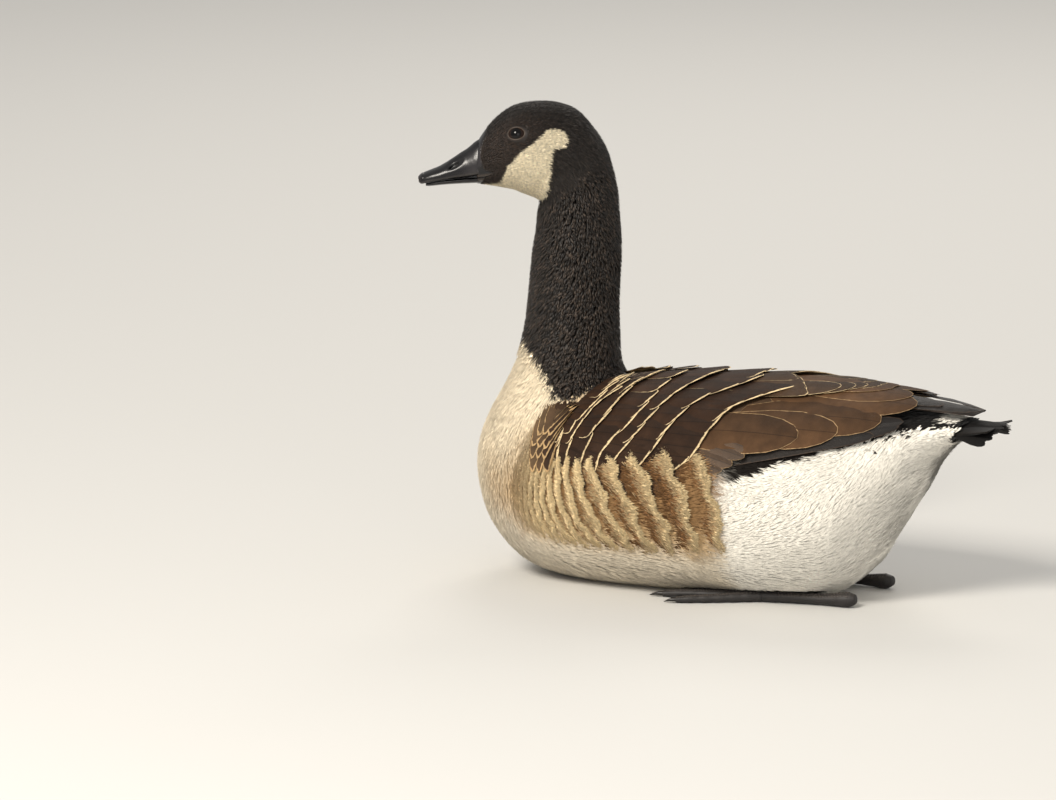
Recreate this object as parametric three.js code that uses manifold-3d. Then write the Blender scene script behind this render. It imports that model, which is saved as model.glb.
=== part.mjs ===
// A Canada goose afloat, life size, as a still model that rests on its belly with its feet tucked under.
// Millimetres, +Z up. The bird faces -Y, its left side is +X and the floor is at z = 0.
// The body is one tube of cross-sections from the tail coverts to the bill, parted into torso, neck and head.
// Wings, tail, bill, eyes and legs grow on it, with feathers as overlapping vanes in tiers.
import * as THREE from "three";
import { mergeVertices } from "three/addons/utils/BufferGeometryUtils.js";
import Module from "manifold-3d";

const wasm = await Module();
wasm.setup();

// Driving dimensions
const seam = 0.35; // gap between pieces that touch
const neckY = -146; // upright axis of the neck
const headTurn = THREE.MathUtils.degToRad(25); // the head looks a little to the bird's left
const turnFrom = 215; // height where the neck begins to twist
const turnTo = 325; // height where the twist is complete
const bodySides = 24; // facets round the torso, neck and head
const pocketDepth = 8; // how far the folded wing is let into the body
const middleGap = 0.2; // half the gap between the two wings along the back
const wingDip = 7; // how far the front of the wing's lower edge dips under the flank
const plate = { from: 0.15, to: 8.4, top: 0, low: 1, sink: 3, front: 16, rear: 6.5 }; // the wing under its vanes
const vaneCrown = 0.8; // how far a vane's middle stands over its edges

const eye = { radius: 8.6, depth: 5.4, u: 26.68, angle: 62.5, lidLong: 7.2, lidHigh: 5.6, lidRim: 1.15, lidRise: 0.6 };
const nostril = { x: 9.6, y: -256.2, z: 373.5, long: 5.4, high: 1.6, deep: 3, slope: THREE.MathUtils.degToRad(33) };
const mouth = { cornerY: -224.3, cornerZ: 363.9, frontY: -240, frontZ: 361.2, high: 1, inner: 11.5, outer: 26 };
const billSides = 14;
const tail = { rootY: 224, rootZ: 171, rootHalf: 17, long: 51.6, round: 7, fan: 21, fall: 0.045, arch: 0.004 };
Object.assign(tail, { count: 9, wide: 17, thick: 1.2, stack: 2.4 });
const limbSides = 7;
const toeBase = [54, 62, 5.4]; // where the left foot's toes meet

// Cross-sections from the tail coverts to the bill: back and belly are [y, z] in the middle plane, half is
// the half width, wide is where the section is widest, as a share of the way from belly to back, and
// low is the fullness below that (2 is an ellipse).
const bodySections = [
  { back: [236, 170], belly: [222, 150], half: 22, wide: 0.55 },
  { back: [216, 174], belly: [201, 120], half: 38, wide: 0.58 },
  { back: [190, 178], belly: [180, 84], half: 55, wide: 0.58 },
  { back: [158, 182], belly: [157, 46], half: 72, wide: 0.55 },
  { back: [118, 187], belly: [127, 12], half: 87, wide: 0.5, low: 2.1 },
  { back: [70, 190], belly: [80, -2], half: 97, wide: 0.47, low: 2.2 },
  { back: [15, 191], belly: [20, -4], half: 102, wide: 0.45, low: 2.2 },
  { back: [-40, 189], belly: [-50, -4], half: 103, wide: 0.45, low: 2.2 },
  { back: [-80, 186], belly: [-118, -3], half: 100, wide: 0.45, low: 2.2 },
  { back: [-96, 183], belly: [-176, 7], half: 95, wide: 0.46, low: 2.1 },
  { back: [-102, 183], belly: [-213, 35], half: 87, wide: 0.48 },
  { back: [-104.5, 186], belly: [-231, 70], half: 79, wide: 0.5 },
  { back: [-106, 191], belly: [-236, 106], half: 68, wide: 0.52 },
  { back: [-106.5, 199], belly: [-227, 140], half: 57, wide: 0.52 },
  { back: [-106.5, 209], belly: [-211, 170], half: 48, wide: 0.52 },
  { back: [-106.5, 222], belly: [-199.5, 197], half: 42, wide: 0.5 },
  { back: [-106.5, 243], belly: [-193, 226], half: 38, wide: 0.5 },
  { back: [-106, 268], belly: [-189, 257], half: 36, wide: 0.5 },
  { back: [-105, 295], belly: [-185.5, 287], half: 35, wide: 0.5 },
  { back: [-106, 322], belly: [-182, 313], half: 34.5, wide: 0.5 },
  { back: [-108.5, 346], belly: [-180, 331], half: 34, wide: 0.5 },
  { back: [-112.5, 367], belly: [-178.5, 338.5], half: 33.5, wide: 0.5 },
  { back: [-119, 387], belly: [-178.5, 340.5], half: 33.5, wide: 0.48 },
  { back: [-130, 405], belly: [-181, 342], half: 33, wide: 0.46 },
  { back: [-145, 421.5], belly: [-186, 344.5], half: 32.5, wide: 0.44, low: 2.1 },
  { back: [-163, 428.5], belly: [-193, 347], half: 32, wide: 0.42, low: 2.1 },
  { back: [-183, 429.5], belly: [-202, 350.5], half: 30.5, wide: 0.42, low: 2.1 },
  { back: [-201, 426], belly: [-212, 352.5], half: 28, wide: 0.44, low: 2.1 },
  { back: [-214, 418], belly: [-221, 354], half: 24.5, wide: 0.46, low: 2.1 },
  { back: [-225, 407], belly: [-228.5, 355], half: 20.5, wide: 0.46, low: 2.1 },
  { back: [-234, 394.5], belly: [-235, 355.5], half: 16, wide: 0.45, low: 2.2 },
];
const neckBase = 15; // index of the section where the neck meets the breast
const headBase = 22; // index of the section behind the jaw
const headFront = bodySections.length - 1;
const shoulderSection = 10; // the body section level with the front of the folded wing

// The folded wings follow a second tube a little outside the first, from the shoulder to the wing tips.
// top and low are the angles from the middle of the back to the wing's two edges, in degrees.
const wingSections = [
  { back: [-103, 186], belly: [-214, 35], half: 89.5, wide: 0.48, top: 30, bottom: 84 },
  { back: [-97, 187], belly: [-178, 7], half: 98, wide: 0.46, top: 18, bottom: 78 },
  { back: [-82, 190], belly: [-120, -4], half: 104, wide: 0.45, top: 12, bottom: 74 },
  { back: [-40, 194], belly: [-50, -5], half: 108, wide: 0.45, top: 7, bottom: 71 },
  { back: [15, 197], belly: [20, -5], half: 108, wide: 0.45, top: 4, bottom: 67 },
  { back: [70, 198.5], belly: [80, 0], half: 103, wide: 0.47, top: 3, bottom: 61 },
  { back: [118, 197], belly: [124, 18], half: 92, wide: 0.5, top: 2.5, bottom: 57 },
  { back: [160, 194.5], belly: [157, 58], half: 72, wide: 0.55, top: 2.5, bottom: 60 },
  { back: [195, 191], belly: [190, 110], half: 48, wide: 0.55, top: 2.5, bottom: 70 },
  { back: [222, 187], belly: [215, 145], half: 29, wide: 0.55, top: 3, bottom: 84 },
  { back: [243, 182.5], belly: [238, 165], half: 12, wide: 0.55, top: 4, bottom: 95 },
];

const upperBillSections = [
  { back: [-234.5, 392], belly: [-235.3, 362.4], half: 14.6, wide: 0.3, high: 1.8, low: 3 },
  { back: [-247, 385], belly: [-247, 361.2], half: 13.8, wide: 0.3, high: 1.8, low: 3 },
  { back: [-258, 377.6], belly: [-258, 360.2], half: 12.8, wide: 0.32, high: 1.8, low: 3 },
  { back: [-268, 371.4], belly: [-268, 358.8], half: 12, wide: 0.34, high: 1.9, low: 3 },
  { back: [-277, 367.6], belly: [-277.5, 357], half: 10.8, wide: 0.38, low: 2.6 },
  { back: [-284, 364.6], belly: [-284.5, 355], half: 8.4, wide: 0.42, low: 2.4 },
  { back: [-287.6, 361.4], belly: [-287.4, 356.4], half: 4.6, wide: 0.5 },
];
const lowerBillSections = [
  { back: [-235.4, 361.5], belly: [-235.5, 356], half: 12.2, wide: 0.8, high: 3 },
  { back: [-250, 360.4], belly: [-250, 355.4], half: 11.4, wide: 0.8, high: 3 },
  { back: [-265, 358.6], belly: [-265, 354.4], half: 10.2, wide: 0.8, high: 3 },
  { back: [-276, 356.6], belly: [-276, 353.2], half: 8.2, wide: 0.8, high: 3 },
  { back: [-281, 355.4], belly: [-281, 353], half: 5, wide: 0.8, high: 3 },
];

const tailSections = [
  { back: [235.8, 169], belly: [222.8, 150.6], half: 20, wide: 0.55 },
  { back: [246, 170.4], belly: [237, 153], half: 26, wide: 0.6 },
  { back: [257, 169.6], belly: [252, 160], half: 31, wide: 0.6 },
  { back: [267, 168.6], belly: [265.4, 165], half: 33, wide: 0.6 },
];

// The left leg and toes as [x, y, z, radius] along their middle lines.
const shank = [[54, 62, 5.4, 6], [50, 86, 4.8, 5.2], [46, 116, 5, 5.4], [43.5, 139, 6.8, 7.4], [43, 145, 8, 5]];
const thigh = [[43.5, 140, 8, 7], [44.5, 134, 20, 10], [46, 127, 36, 13]];
const toes = [
  [[...toeBase, 5.6], [51, 32, 4.3, 4.6], [52, 4, 3.5, 3.8], [53, -10, 2.6, 2.6], [53.5, -18, 1.4, 0.5]],
  [[...toeBase, 5.8], [61, 26, 4.5, 4.8], [69, -10, 3.7, 4], [73, -30, 2.8, 2.8], [74.5, -39, 1.5, 0.5]],
  [[...toeBase, 5.6], [72, 32, 4.3, 4.6], [86, 6, 3.5, 3.8], [92, -8, 2.6, 2.6], [95, -16, 1.4, 0.5]],
  [[51, 56, 4.6, 4], [45, 68, 3.6, 3], [40, 77, 2, 0.5]],
];
const web = { inner: [53, -6], innerDip: [60, 0], middle: [71, -22], outerDip: [78, 4], outer: [90, -4], thick: 2.2 };

// Feathers on the folded wing. tips is the line of a tier's tips as [u, share from the wing's top to its
// bottom edge], long and wide are a vane's sizes, drop is how far it points down towards its tip, as a
// share of the wing's depth, and rise is the height of the tips over the wing's own surface.
const tiers = [
  { tips: [[6.3, 1.12], [7.3, 0.98], [8.2, 0.82]], count: 3, long: 118, wide: 24, drop: 0.05, rise: -5.5, rootRise: -9, thick: 1.6 },
  { tips: [[8.75, 0.72], [9.4, 0.56], [10, 0.42]], count: 3, long: 130, wide: 20, drop: -0.1, rise: -4, rootRise: -8, thick: 1.6 },
  { tips: [[4.3, 1.08], [4.9, 1.04], [5.7, 1.0]], count: 3, long: 78, wide: 30, drop: 0.2, rise: -2.6, rootRise: -6, thick: 2 },
  { tips: [[6.7, 1.0], [7.65, 0.93]], count: 2, long: 150, wide: 40, drop: 0.2, rise: -1.2, rootRise: -5, thick: 2 },
  { tips: [[7.85, 0.42], [6.95, 0.14]], count: 2, long: 140, wide: 42, drop: 0.06, rise: 0, rootRise: -4.5, thick: 2 },
  { tips: [[3.95, 0.86], [4.2, 0.76], [4.65, 0.58], [5.1, 0.36]], count: 4, long: 66, wide: 34, drop: 0.1, rise: 0.4, rootRise: -4.5, thick: 3 },
  { tips: [[6.15, 0.1], [5.1, 0.12], [4.4, 0.06]], count: 3, long: 74, wide: 28, drop: 0, rise: 1, rootRise: -4, thick: 3 },
  { tips: [[3.1, 0.8], [3.4, 0.62], [3.75, 0.4], [3.9, 0.16]], count: 4, long: 58, wide: 35, drop: 0.1, rise: 0.8, rootRise: -4.5, thick: 3 },
  { tips: [[2.2, 0.78], [2.5, 0.58], [2.75, 0.36], [2.9, 0.13]], count: 4, long: 52, wide: 35, drop: 0.1, rise: 0.8, rootRise: -4.5, thick: 3 },
  { tips: [[1.45, 0.76], [1.5, 0.56], [1.6, 0.34], [1.8, 0.1]], count: 4, long: 44, wide: 33, drop: 0.08, rise: 0.6, rootRise: -4.5, thick: 3 },
];
const vaneOutline = [[0, 0.75], [0.5, 1], [0.84, 0.88], [0.96, 0.6], [1, 0.22]]; // [way along, share of width]

// A smooth list of numbers through the rows at u, from 0 to the last row.
function spline(rows, u) {
  const last = rows.length - 1;
  const i = Math.min(Math.max(Math.floor(u), 0), last - 1);
  const f = u - i;
  return rows[i].map((p1, k) => {
    const p2 = rows[i + 1][k];
    const p0 = i > 0 ? rows[i - 1][k] : 2 * p1 - p2;
    const p3 = i < last - 1 ? rows[i + 2][k] : 2 * p2 - p1;
    return p1 + 0.5 * f * (p2 - p0 + f * (2 * p0 - 5 * p1 + 4 * p2 - p3 + f * (3 * (p1 - p2) + p3 - p0)));
  });
}

// Turns a point of the neck or head about the neck's upright axis.
function turned(p) {
  if (p.y > -60) return p;
  const phi = headTurn * THREE.MathUtils.smoothstep(p.z, turnFrom, turnTo);
  const [dx, dy] = [p.x, p.y - neckY];
  return p.set(dx * Math.cos(phi) - dy * Math.sin(phi), neckY + dx * Math.sin(phi) + dy * Math.cos(phi), p.z);
}

const signedPower = (value, power) => Math.sign(value) * Math.abs(value) ** power;

// A point of u, along the sections, and a, the angle from the back (0) round by the left side (PI / 2).
function tubeThrough(sections) {
  const rows = sections.map((s) => [...s.back, ...s.belly, s.half, s.wide, s.high ?? 2, s.low ?? 2]);
  return (u, a) => {
    const [backY, backZ, bellyY, bellyZ, half, wide, high, low] = spline(rows, u);
    const [midY, midZ] = [bellyY + (backY - bellyY) * wide, bellyZ + (backZ - bellyZ) * wide];
    const power = 2 / (Math.cos(a) > 0 ? high : low);
    const reach = signedPower(Math.cos(a), power);
    const [endY, endZ] = reach > 0 ? [backY - midY, backZ - midZ] : [midY - bellyY, midZ - bellyZ];
    return turned(new THREE.Vector3(half * signedPower(Math.sin(a), power), midY + endY * reach, midZ + endZ * reach));
  };
}

// The unit normal of a skin at (u, a), pointing away from the body, and its two slopes. A skin is a
// function at of (u, a) and its facing, 1 or -1, for which way round the two run.
function frameOf({ at, facing }, u, a) {
  const [du, da] = [0.02, 0.01];
  const along = at(u + du, a).sub(at(u - du, a)).divideScalar(2 * du);
  const round = at(u, a + da).sub(at(u, a - da)).divideScalar(2 * da);
  const normal = new THREE.Vector3().crossVectors(along, round).normalize().multiplyScalar(facing);
  return { along, round, normal };
}

// A closed solid from points and triangles, turned inside out if its volume is negative.
function solidOf(points, triangles) {
  let volume = 0;
  for (const [a, b, c] of triangles) volume += points[a].dot(new THREE.Vector3().crossVectors(points[b], points[c]));
  const outward = volume > 0 ? triangles : triangles.map(([a, b, c]) => [a, c, b]);
  const vertProperties = new Float32Array(points.flatMap((p) => [p.x, p.y, p.z]));
  return new wasm.Manifold(new wasm.Mesh({ numProp: 3, vertProperties, triVerts: new Uint32Array(outward.flat()) }));
}

// A closed solid from a three.js geometry.
function solidFrom(geometry) {
  const bare = geometry.clone();
  bare.deleteAttribute("normal");
  bare.deleteAttribute("uv");
  const merged = mergeVertices(bare, 1e-4);
  const place = merged.attributes.position;
  const points = Array.from({ length: place.count }, (_, i) => new THREE.Vector3().fromBufferAttribute(place, i));
  const triangles = [];
  for (let i = 0; i < merged.index.count; i += 3) {
    const corner = [0, 1, 2].map((k) => merged.index.getX(i + k));
    if (new Set(corner).size === 3) triangles.push(corner);
  }
  return solidOf(points, triangles);
}

// A solid through rings of points, closed by a fan over each end ring.
function loft(rings) {
  const sides = rings[0].length;
  const points = rings.flat();
  const triangles = [];
  for (let i = 0; i < rings.length - 1; i++) {
    for (let j = 0; j < sides; j++) {
      const [a, b] = [i * sides + j, i * sides + ((j + 1) % sides)];
      triangles.push([a, b, b + sides], [a, b + sides, a + sides]);
    }
  }
  const [first, last] = [0, rings.length - 1];
  for (const end of [first, last]) {
    const centre = points.length;
    points.push(rings[end].reduce((sum, p) => sum.add(p), new THREE.Vector3()).divideScalar(sides));
    for (let j = 0; j < sides; j++) {
      const [a, b] = [end * sides + j, end * sides + ((j + 1) % sides)];
      triangles.push(end === first ? [b, a, centre] : [a, b, centre]);
    }
  }
  return solidOf(points, triangles);
}

// A closed sheet of n by m points whose top and bottom faces are split into triangles alike.
function slab(n, m, top, bottom) {
  const points = [];
  for (const face of [top, bottom]) for (let i = 0; i < n; i++) for (let j = 0; j < m; j++) points.push(face(i, j));
  const at = (face, i, j) => face * n * m + i * m + j;
  const triangles = [];
  for (let i = 0; i < n - 1; i++) {
    for (let j = 0; j < m - 1; j++) {
      triangles.push([at(0, i, j), at(0, i + 1, j), at(0, i + 1, j + 1)], [at(0, i, j), at(0, i + 1, j + 1), at(0, i, j + 1)]);
      triangles.push([at(1, i, j), at(1, i + 1, j + 1), at(1, i + 1, j)], [at(1, i, j), at(1, i, j + 1), at(1, i + 1, j + 1)]);
    }
  }
  const rim = [];
  for (let j = 0; j < m; j++) rim.push([0, j]);
  for (let i = 1; i < n; i++) rim.push([i, m - 1]);
  for (let j = m - 2; j >= 0; j--) rim.push([n - 1, j]);
  for (let i = n - 2; i > 0; i--) rim.push([i, 0]);
  rim.forEach(([i, j], k) => {
    const [p, q] = rim[(k + 1) % rim.length];
    triangles.push([at(0, i, j), at(0, p, q), at(1, p, q)], [at(0, i, j), at(1, p, q), at(1, i, j)]);
  });
  return solidOf(points, triangles);
}

const bothSides = [1, -1];
const joined = (solids) => solids.reduce((sum, next) => sum.add(next));

// The piece with the largest volume, without scraps or sealed hollows.
function largest(solid) {
  const pieces = solid.decompose().sort((a, b) => b.volume() - a.volume());
  return pieces[0];
}

// The same solid on the bird's other side.
function mirrored(solid) {
  const { vertProperties: v, triVerts: t } = solid.getMesh();
  const points = Array.from({ length: v.length / 3 }, (_, i) => new THREE.Vector3(-v[3 * i], v[3 * i + 1], v[3 * i + 2]));
  return solidOf(points, Array.from({ length: t.length / 3 }, (_, i) => [t[3 * i], t[3 * i + 1], t[3 * i + 2]]));
}

const bodyTube = { at: tubeThrough(bodySections), facing: 1 };
const wingTube = { at: tubeThrough(wingSections), facing: -1 };

// How much of a band from a to d, with soft ends, x is in.
const band = (x, a, b, c, d) => THREE.MathUtils.smoothstep(x, a, b) * (1 - THREE.MathUtils.smoothstep(x, c, d));

// The angle at a share r of the way from the wing's top to its bottom edge, and that share back from an angle.
const wingEdges = wingSections.map((s) => [s.top, s.bottom]);
function wingAngle(u, r) {
  const [top, bottom] = spline(wingEdges, u);
  return THREE.MathUtils.degToRad(top + (bottom - top) * r);
}
function wingShare(u, a) {
  const [top, bottom] = spline(wingEdges, u);
  return (THREE.MathUtils.radToDeg(a) - top) / (bottom - top);
}

// The body's own surface, raised by grow, with a shallow pocket on each side where the folded wing lies.
function bodyPoint(u, a, grow = 0) {
  const side = Math.min(a, 2 * Math.PI - a);
  const uWing = shoulderSection - u;
  const share = wingShare(THREE.MathUtils.clamp(uWing, 0, wingSections.length - 1), side);
  const pocket = pocketDepth * band(uWing, 0.1, 1.4, 5.5, 7.2) * band(share, 0.02, 0.25, 0.8, 1.02);
  const p = bodyTube.at(u, a).addScaledVector(frameOf(bodyTube, u, a).normal, grow - pocket);
  p.z = Math.max(p.z, -grow);
  return p;
}

// Rings round the body from section u0 to u1. Where clear is set, the first is moved on by the seam.
function bodyRings(u0, u1, steps, clear, point = bodyTube.at) {
  const rings = Array.from({ length: steps + 1 }, (_, i) => {
    const u = u0 + ((u1 - u0) * i) / steps;
    return Array.from({ length: bodySides }, (_, j) => point(u, (2 * Math.PI * j) / bodySides));
  });
  if (!clear) return rings;
  const [back, left, belly] = [0, bodySides / 4, bodySides / 2].map((j) => rings[0][Math.round(j)]);
  const ahead = new THREE.Vector3().crossVectors(left.clone().sub(belly), back.clone().sub(belly)).normalize();
  if (ahead.dot(rings[1][0].clone().sub(back)) < 0) ahead.negate();
  for (const p of rings[0]) p.addScaledVector(ahead, seam);
  return rings;
}

// A vane of a feather on a skin, from root to tip, each [u, a]. Its middle stands rise over the skin at the
// tip and rootRise at the root, and it is thick below that, with its rim after vaneOutline.
function vane(skin, root, tip, { wide, rise, rootRise, thick, columns = 2 }) {
  const face = (depth) => (i, j) => {
    const [s, share] = vaneOutline[i];
    const t = (2 * j) / (columns - 1) - 1;
    const u = root[0] + (tip[0] - root[0]) * s;
    const a = root[1] + (tip[1] - root[1]) * s;
    const { along, round, normal } = frameOf(skin, u, a);
    const shaft = along.clone().multiplyScalar(tip[0] - root[0]).addScaledVector(round, tip[1] - root[1]).normalize();
    const across = new THREE.Vector3().crossVectors(normal, shaft).multiplyScalar((t * share * wide) / 2);
    const [aa, ar, rr] = [along.dot(along), along.dot(round), round.dot(round)];
    const [da, dr] = [along.dot(across), round.dot(across)];
    const det = aa * rr - ar * ar;
    const p = skin.at(u + (rr * da - ar * dr) / det, a + (aa * dr - ar * da) / det);
    const height = rootRise + (rise - rootRise) * s + vaneCrown * (1 - t * t);
    return p.addScaledVector(normal, height - depth * thick);
  };
  return slab(vaneOutline.length, columns, face(0), face(1));
}

// Moves an end ring out from the next by a distance.
function extend(ring, next, distance) {
  const middle = (r) => r.reduce((sum, p) => sum.add(p), new THREE.Vector3()).divideScalar(r.length);
  const out = middle(ring).sub(middle(next)).normalize();
  for (const p of ring) p.addScaledVector(out, distance);
}

// The body from the tail coverts to the foot of the neck, grown by grow.
function torsoWhole(grow) {
  const rings = bodyRings(0, neckBase, 25, false, (u, a) => bodyPoint(u, a, grow));
  extend(rings[0], rings[1], grow);
  return loft(rings);
}

// The folded wing's skin. Towards its lower edge at the front it dips under the flank's feathers.
const wingSkin = {
  facing: -1,
  at: (u, a) => {
    const share = wingShare(THREE.MathUtils.clamp(u, 0, wingSections.length - 1), a);
    const dip = wingDip * THREE.MathUtils.smoothstep(share, 0.78, 1.05) * (1 - THREE.MathUtils.smoothstep(u, 3.6, 4.8));
    return wingTube.at(u, a).addScaledVector(frameOf(wingTube, u, a).normal, -dip);
  },
};

// The left wing: a plate that the body's pocket holds, and tiers of vanes that overlap towards the rear.
function wing() {
  const [n, m] = [10, 6];
  const face = (depthAt) => (i, j) => {
    const s = i / (n - 1);
    const u = plate.from + (plate.to - plate.from) * s;
    const a = wingAngle(u, plate.top + (plate.low - plate.top) * (j / (m - 1)));
    return wingSkin.at(u, a).addScaledVector(frameOf(wingSkin, u, a).normal, -depthAt(s));
  };
  const inner = (s) => THREE.MathUtils.lerp(plate.front, plate.rear, THREE.MathUtils.smoothstep(s, 0.35, 0.75));
  const core = slab(n, m, face(() => plate.sink), face(inner));
  return joined([core, ...tiers.flatMap(tierOf)]).trimByPlane([1, 0, 0], middleGap);
}

function tierOf(tier) {
  return Array.from({ length: tier.count }, (_, k) => {
    const [tipU, tipR] = spline(tier.tips, (k * (tier.tips.length - 1)) / (tier.count - 1));
    const { along } = frameOf(wingSkin, tipU - 1, wingAngle(tipU - 1, tipR));
    const rootU = tipU - tier.long / along.length();
    return vane(wingSkin, [rootU, wingAngle(rootU, tipR - tier.drop)], [tipU, wingAngle(tipU, tipR)], tier);
  });
}

// A three.js geometry in the head's own frame before it turns, as a solid in its place.
function onHead(geometry) {
  const place = geometry.attributes.position;
  for (let i = 0; i < place.count; i++) {
    const p = turned(new THREE.Vector3().fromBufferAttribute(place, i));
    place.setXYZ(i, p.x, p.y, p.z);
  }
  return solidFrom(geometry);
}

// Where an eye sits, side 1 for the left: the skin over it, the way it looks and the way to the bill.
function eyeSeat(side) {
  const angle = side * THREE.MathUtils.degToRad(eye.angle);
  const { along, normal } = frameOf(bodyTube, eye.u, angle);
  const skin = bodyTube.at(eye.u, angle);
  return { skin, normal, along: along.normalize(), centre: skin.clone().addScaledVector(normal, -eye.depth) };
}

function eyeball(side, grow) {
  const ball = new THREE.SphereGeometry(eye.radius + grow, 16, 9);
  const { centre, normal } = eyeSeat(side);
  ball.applyQuaternion(new THREE.Quaternion().setFromUnitVectors(new THREE.Vector3(0, 1, 0), normal));
  return solidFrom(ball.translate(centre.x, centre.y, centre.z));
}

// The lids: an oval ring that stands up round the eye's opening.
function lids(side) {
  const { skin, normal, along } = eyeSeat(side);
  const ring = new THREE.TorusGeometry(1, eye.lidRim, 6, 22);
  const place = ring.attributes.position;
  const across = new THREE.Vector3().crossVectors(normal, along);
  for (let i = 0; i < place.count; i++) {
    const p = new THREE.Vector3().fromBufferAttribute(place, i);
    const reach = Math.hypot(p.x, p.y);
    const [c, d] = [p.x / reach, p.y / reach];
    const out = reach - 1;
    const q = skin.clone().addScaledVector(along, (eye.lidLong + out) * c)
      .addScaledVector(across, (eye.lidHigh + out) * d).addScaledVector(normal, eye.lidRise + p.z);
    place.setXYZ(i, q.x, q.y, q.z);
  }
  return solidFrom(ring);
}

// The corner of the mouth: a slot in the cheek that carries on the line between the two halves of the bill.
function mouthSlot(side) {
  const [run, fall] = [mouth.cornerY - mouth.frontY, mouth.cornerZ - mouth.frontZ];
  const slot = new THREE.BoxGeometry(mouth.outer - mouth.inner, Math.hypot(run, fall), mouth.high);
  slot.rotateX(Math.atan2(fall, run));
  slot.translate((side * (mouth.outer + mouth.inner)) / 2, mouth.frontY + run / 2, mouth.frontZ + fall / 2);
  return onHead(slot);
}

function head() {
  const skull = loft(bodyRings(headBase, headFront, 15, true));
  const lidded = joined([skull, ...bothSides.map(lids)]);
  const cuts = bothSides.flatMap((side) => [eyeball(side, seam), mouthSlot(side)]);
  return largest(cuts.reduce((sum, cut) => sum.subtract(cut), lidded));
}

function billHalf(sections) {
  const tube = tubeThrough(sections);
  const steps = 2 * (sections.length - 1);
  return loft(Array.from({ length: steps + 1 }, (_, i) =>
    Array.from({ length: billSides }, (_, j) => tube(i / 2, (2 * Math.PI * j) / billSides))));
}

// The upper half of the bill, with a long nostril through the skin of each side.
function upperBill() {
  const cuts = bothSides.map((side) => {
    const hole = new THREE.SphereGeometry(1, 12, 8).scale(nostril.deep, nostril.long, nostril.high);
    return onHead(hole.rotateX(nostril.slope).translate(side * nostril.x, nostril.y, nostril.z));
  });
  return largest(cuts.reduce((sum, cut) => sum.subtract(cut), billHalf(upperBillSections)));
}

// The tail's skin: u is the length along a feather and v its place in the fan, from -1 to 1.
const tailSkin = {
  facing: -1,
  at: (u, v) => {
    const spread = THREE.MathUtils.degToRad(tail.fan) * v;
    const x = tail.rootHalf * v + u * Math.sin(spread);
    return new THREE.Vector3(x, tail.rootY + u * Math.cos(spread), tail.rootZ - tail.fall * u - tail.arch * x * x);
  },
};

function tailFan() {
  const root = billHalf(tailSections);
  const vanes = Array.from({ length: tail.count }, (_, k) => {
    const v = (2 * k) / (tail.count - 1) - 1;
    const rise = -tail.stack * Math.abs(v);
    const tip = tail.long - tail.round * v * v;
    return vane(tailSkin, [0, v], [tip, v], { wide: tail.wide, rise, rootRise: rise, thick: tail.thick });
  });
  return joined([root, ...vanes]);
}

// A tapered round limb through points [x, y, z, radius] of the left side, flattened at the floor.
function limb(points, grow) {
  const path = new THREE.CatmullRomCurve3(points.map(([x, y, z]) => new THREE.Vector3(x, y, z)));
  const steps = 2 * (points.length - 1);
  const up = new THREE.Vector3(0, 0, 1);
  const rings = Array.from({ length: steps + 1 }, (_, i) => {
    const t = i / steps;
    const centre = path.getPoint(t);
    const along = path.getTangent(t);
    const across = new THREE.Vector3().crossVectors(along, up).normalize();
    const over = new THREE.Vector3().crossVectors(across, along);
    const [radius] = spline(points.map((p) => [p[3]]), i / 2);
    return Array.from({ length: limbSides }, (_, j) => {
      const turn = (2 * Math.PI * j) / limbSides + Math.PI / 2;
      return centre.clone().addScaledVector(across, (radius + grow) * Math.cos(turn))
        .addScaledVector(over, (radius + grow) * Math.sin(turn));
    });
  });
  if (grow > 0) for (const [end, next] of [[0, 1], [steps, steps - 1]]) extend(rings[end], rings[next], grow);
  return loft(rings);
}

// The left foot, folded flat on the floor: three front toes with a web between them and a small hind toe.
function foot(grow) {
  const outline = new THREE.Shape();
  outline.moveTo(toeBase[0] - 4, toeBase[1] + 3);
  outline.lineTo(...web.inner);
  outline.quadraticCurveTo(...web.innerDip, ...web.middle);
  outline.quadraticCurveTo(...web.outerDip, ...web.outer);
  outline.lineTo(toeBase[0] + 5, toeBase[1] + 3);
  const sheet = new THREE.ExtrudeGeometry(outline, { depth: web.thick + grow, bevelEnabled: false, curveSegments: 3 });
  const whole = joined([solidFrom(sheet), ...toes.map((points) => limb(points, grow))]);
  return whole.trimByPlane([0, 0, 1], 0);
}

// The left shank lies along the floor from the heel joint to the toes, and the thigh's end rises from it.
const lying = (points, grow) => limb(points, grow).trimByPlane([0, 0, 1], 0);

function toGeometry(solid) {
  const mesh = solid.getMesh();
  const geometry = new THREE.BufferGeometry();
  geometry.setAttribute("position", new THREE.BufferAttribute(mesh.vertProperties, 3));
  geometry.setIndex(new THREE.BufferAttribute(mesh.triVerts, 1));
  geometry.computeVertexNormals();
  return geometry;
}

const materials = {
  plumage: new THREE.MeshStandardMaterial({ color: "#b9a68a", roughness: 0.9 }),
  black: new THREE.MeshStandardMaterial({ color: "#1c1814", roughness: 0.85 }),
  wing: new THREE.MeshStandardMaterial({ color: "#5a4736", roughness: 0.85 }),
  horn: new THREE.MeshStandardMaterial({ color: "#17171a", roughness: 0.4 }),
  eye: new THREE.MeshStandardMaterial({ color: "#1a0f08", roughness: 0.05 }),
  foot: new THREE.MeshStandardMaterial({ color: "#2a2826", roughness: 0.6 }),
};

const goose = new THREE.Group();
goose.name = "goose";

function add(name, solid, material) {
  const mesh = new THREE.Mesh(toGeometry(solid), materials[material]);
  mesh.name = name;
  goose.add(mesh);
}

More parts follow.
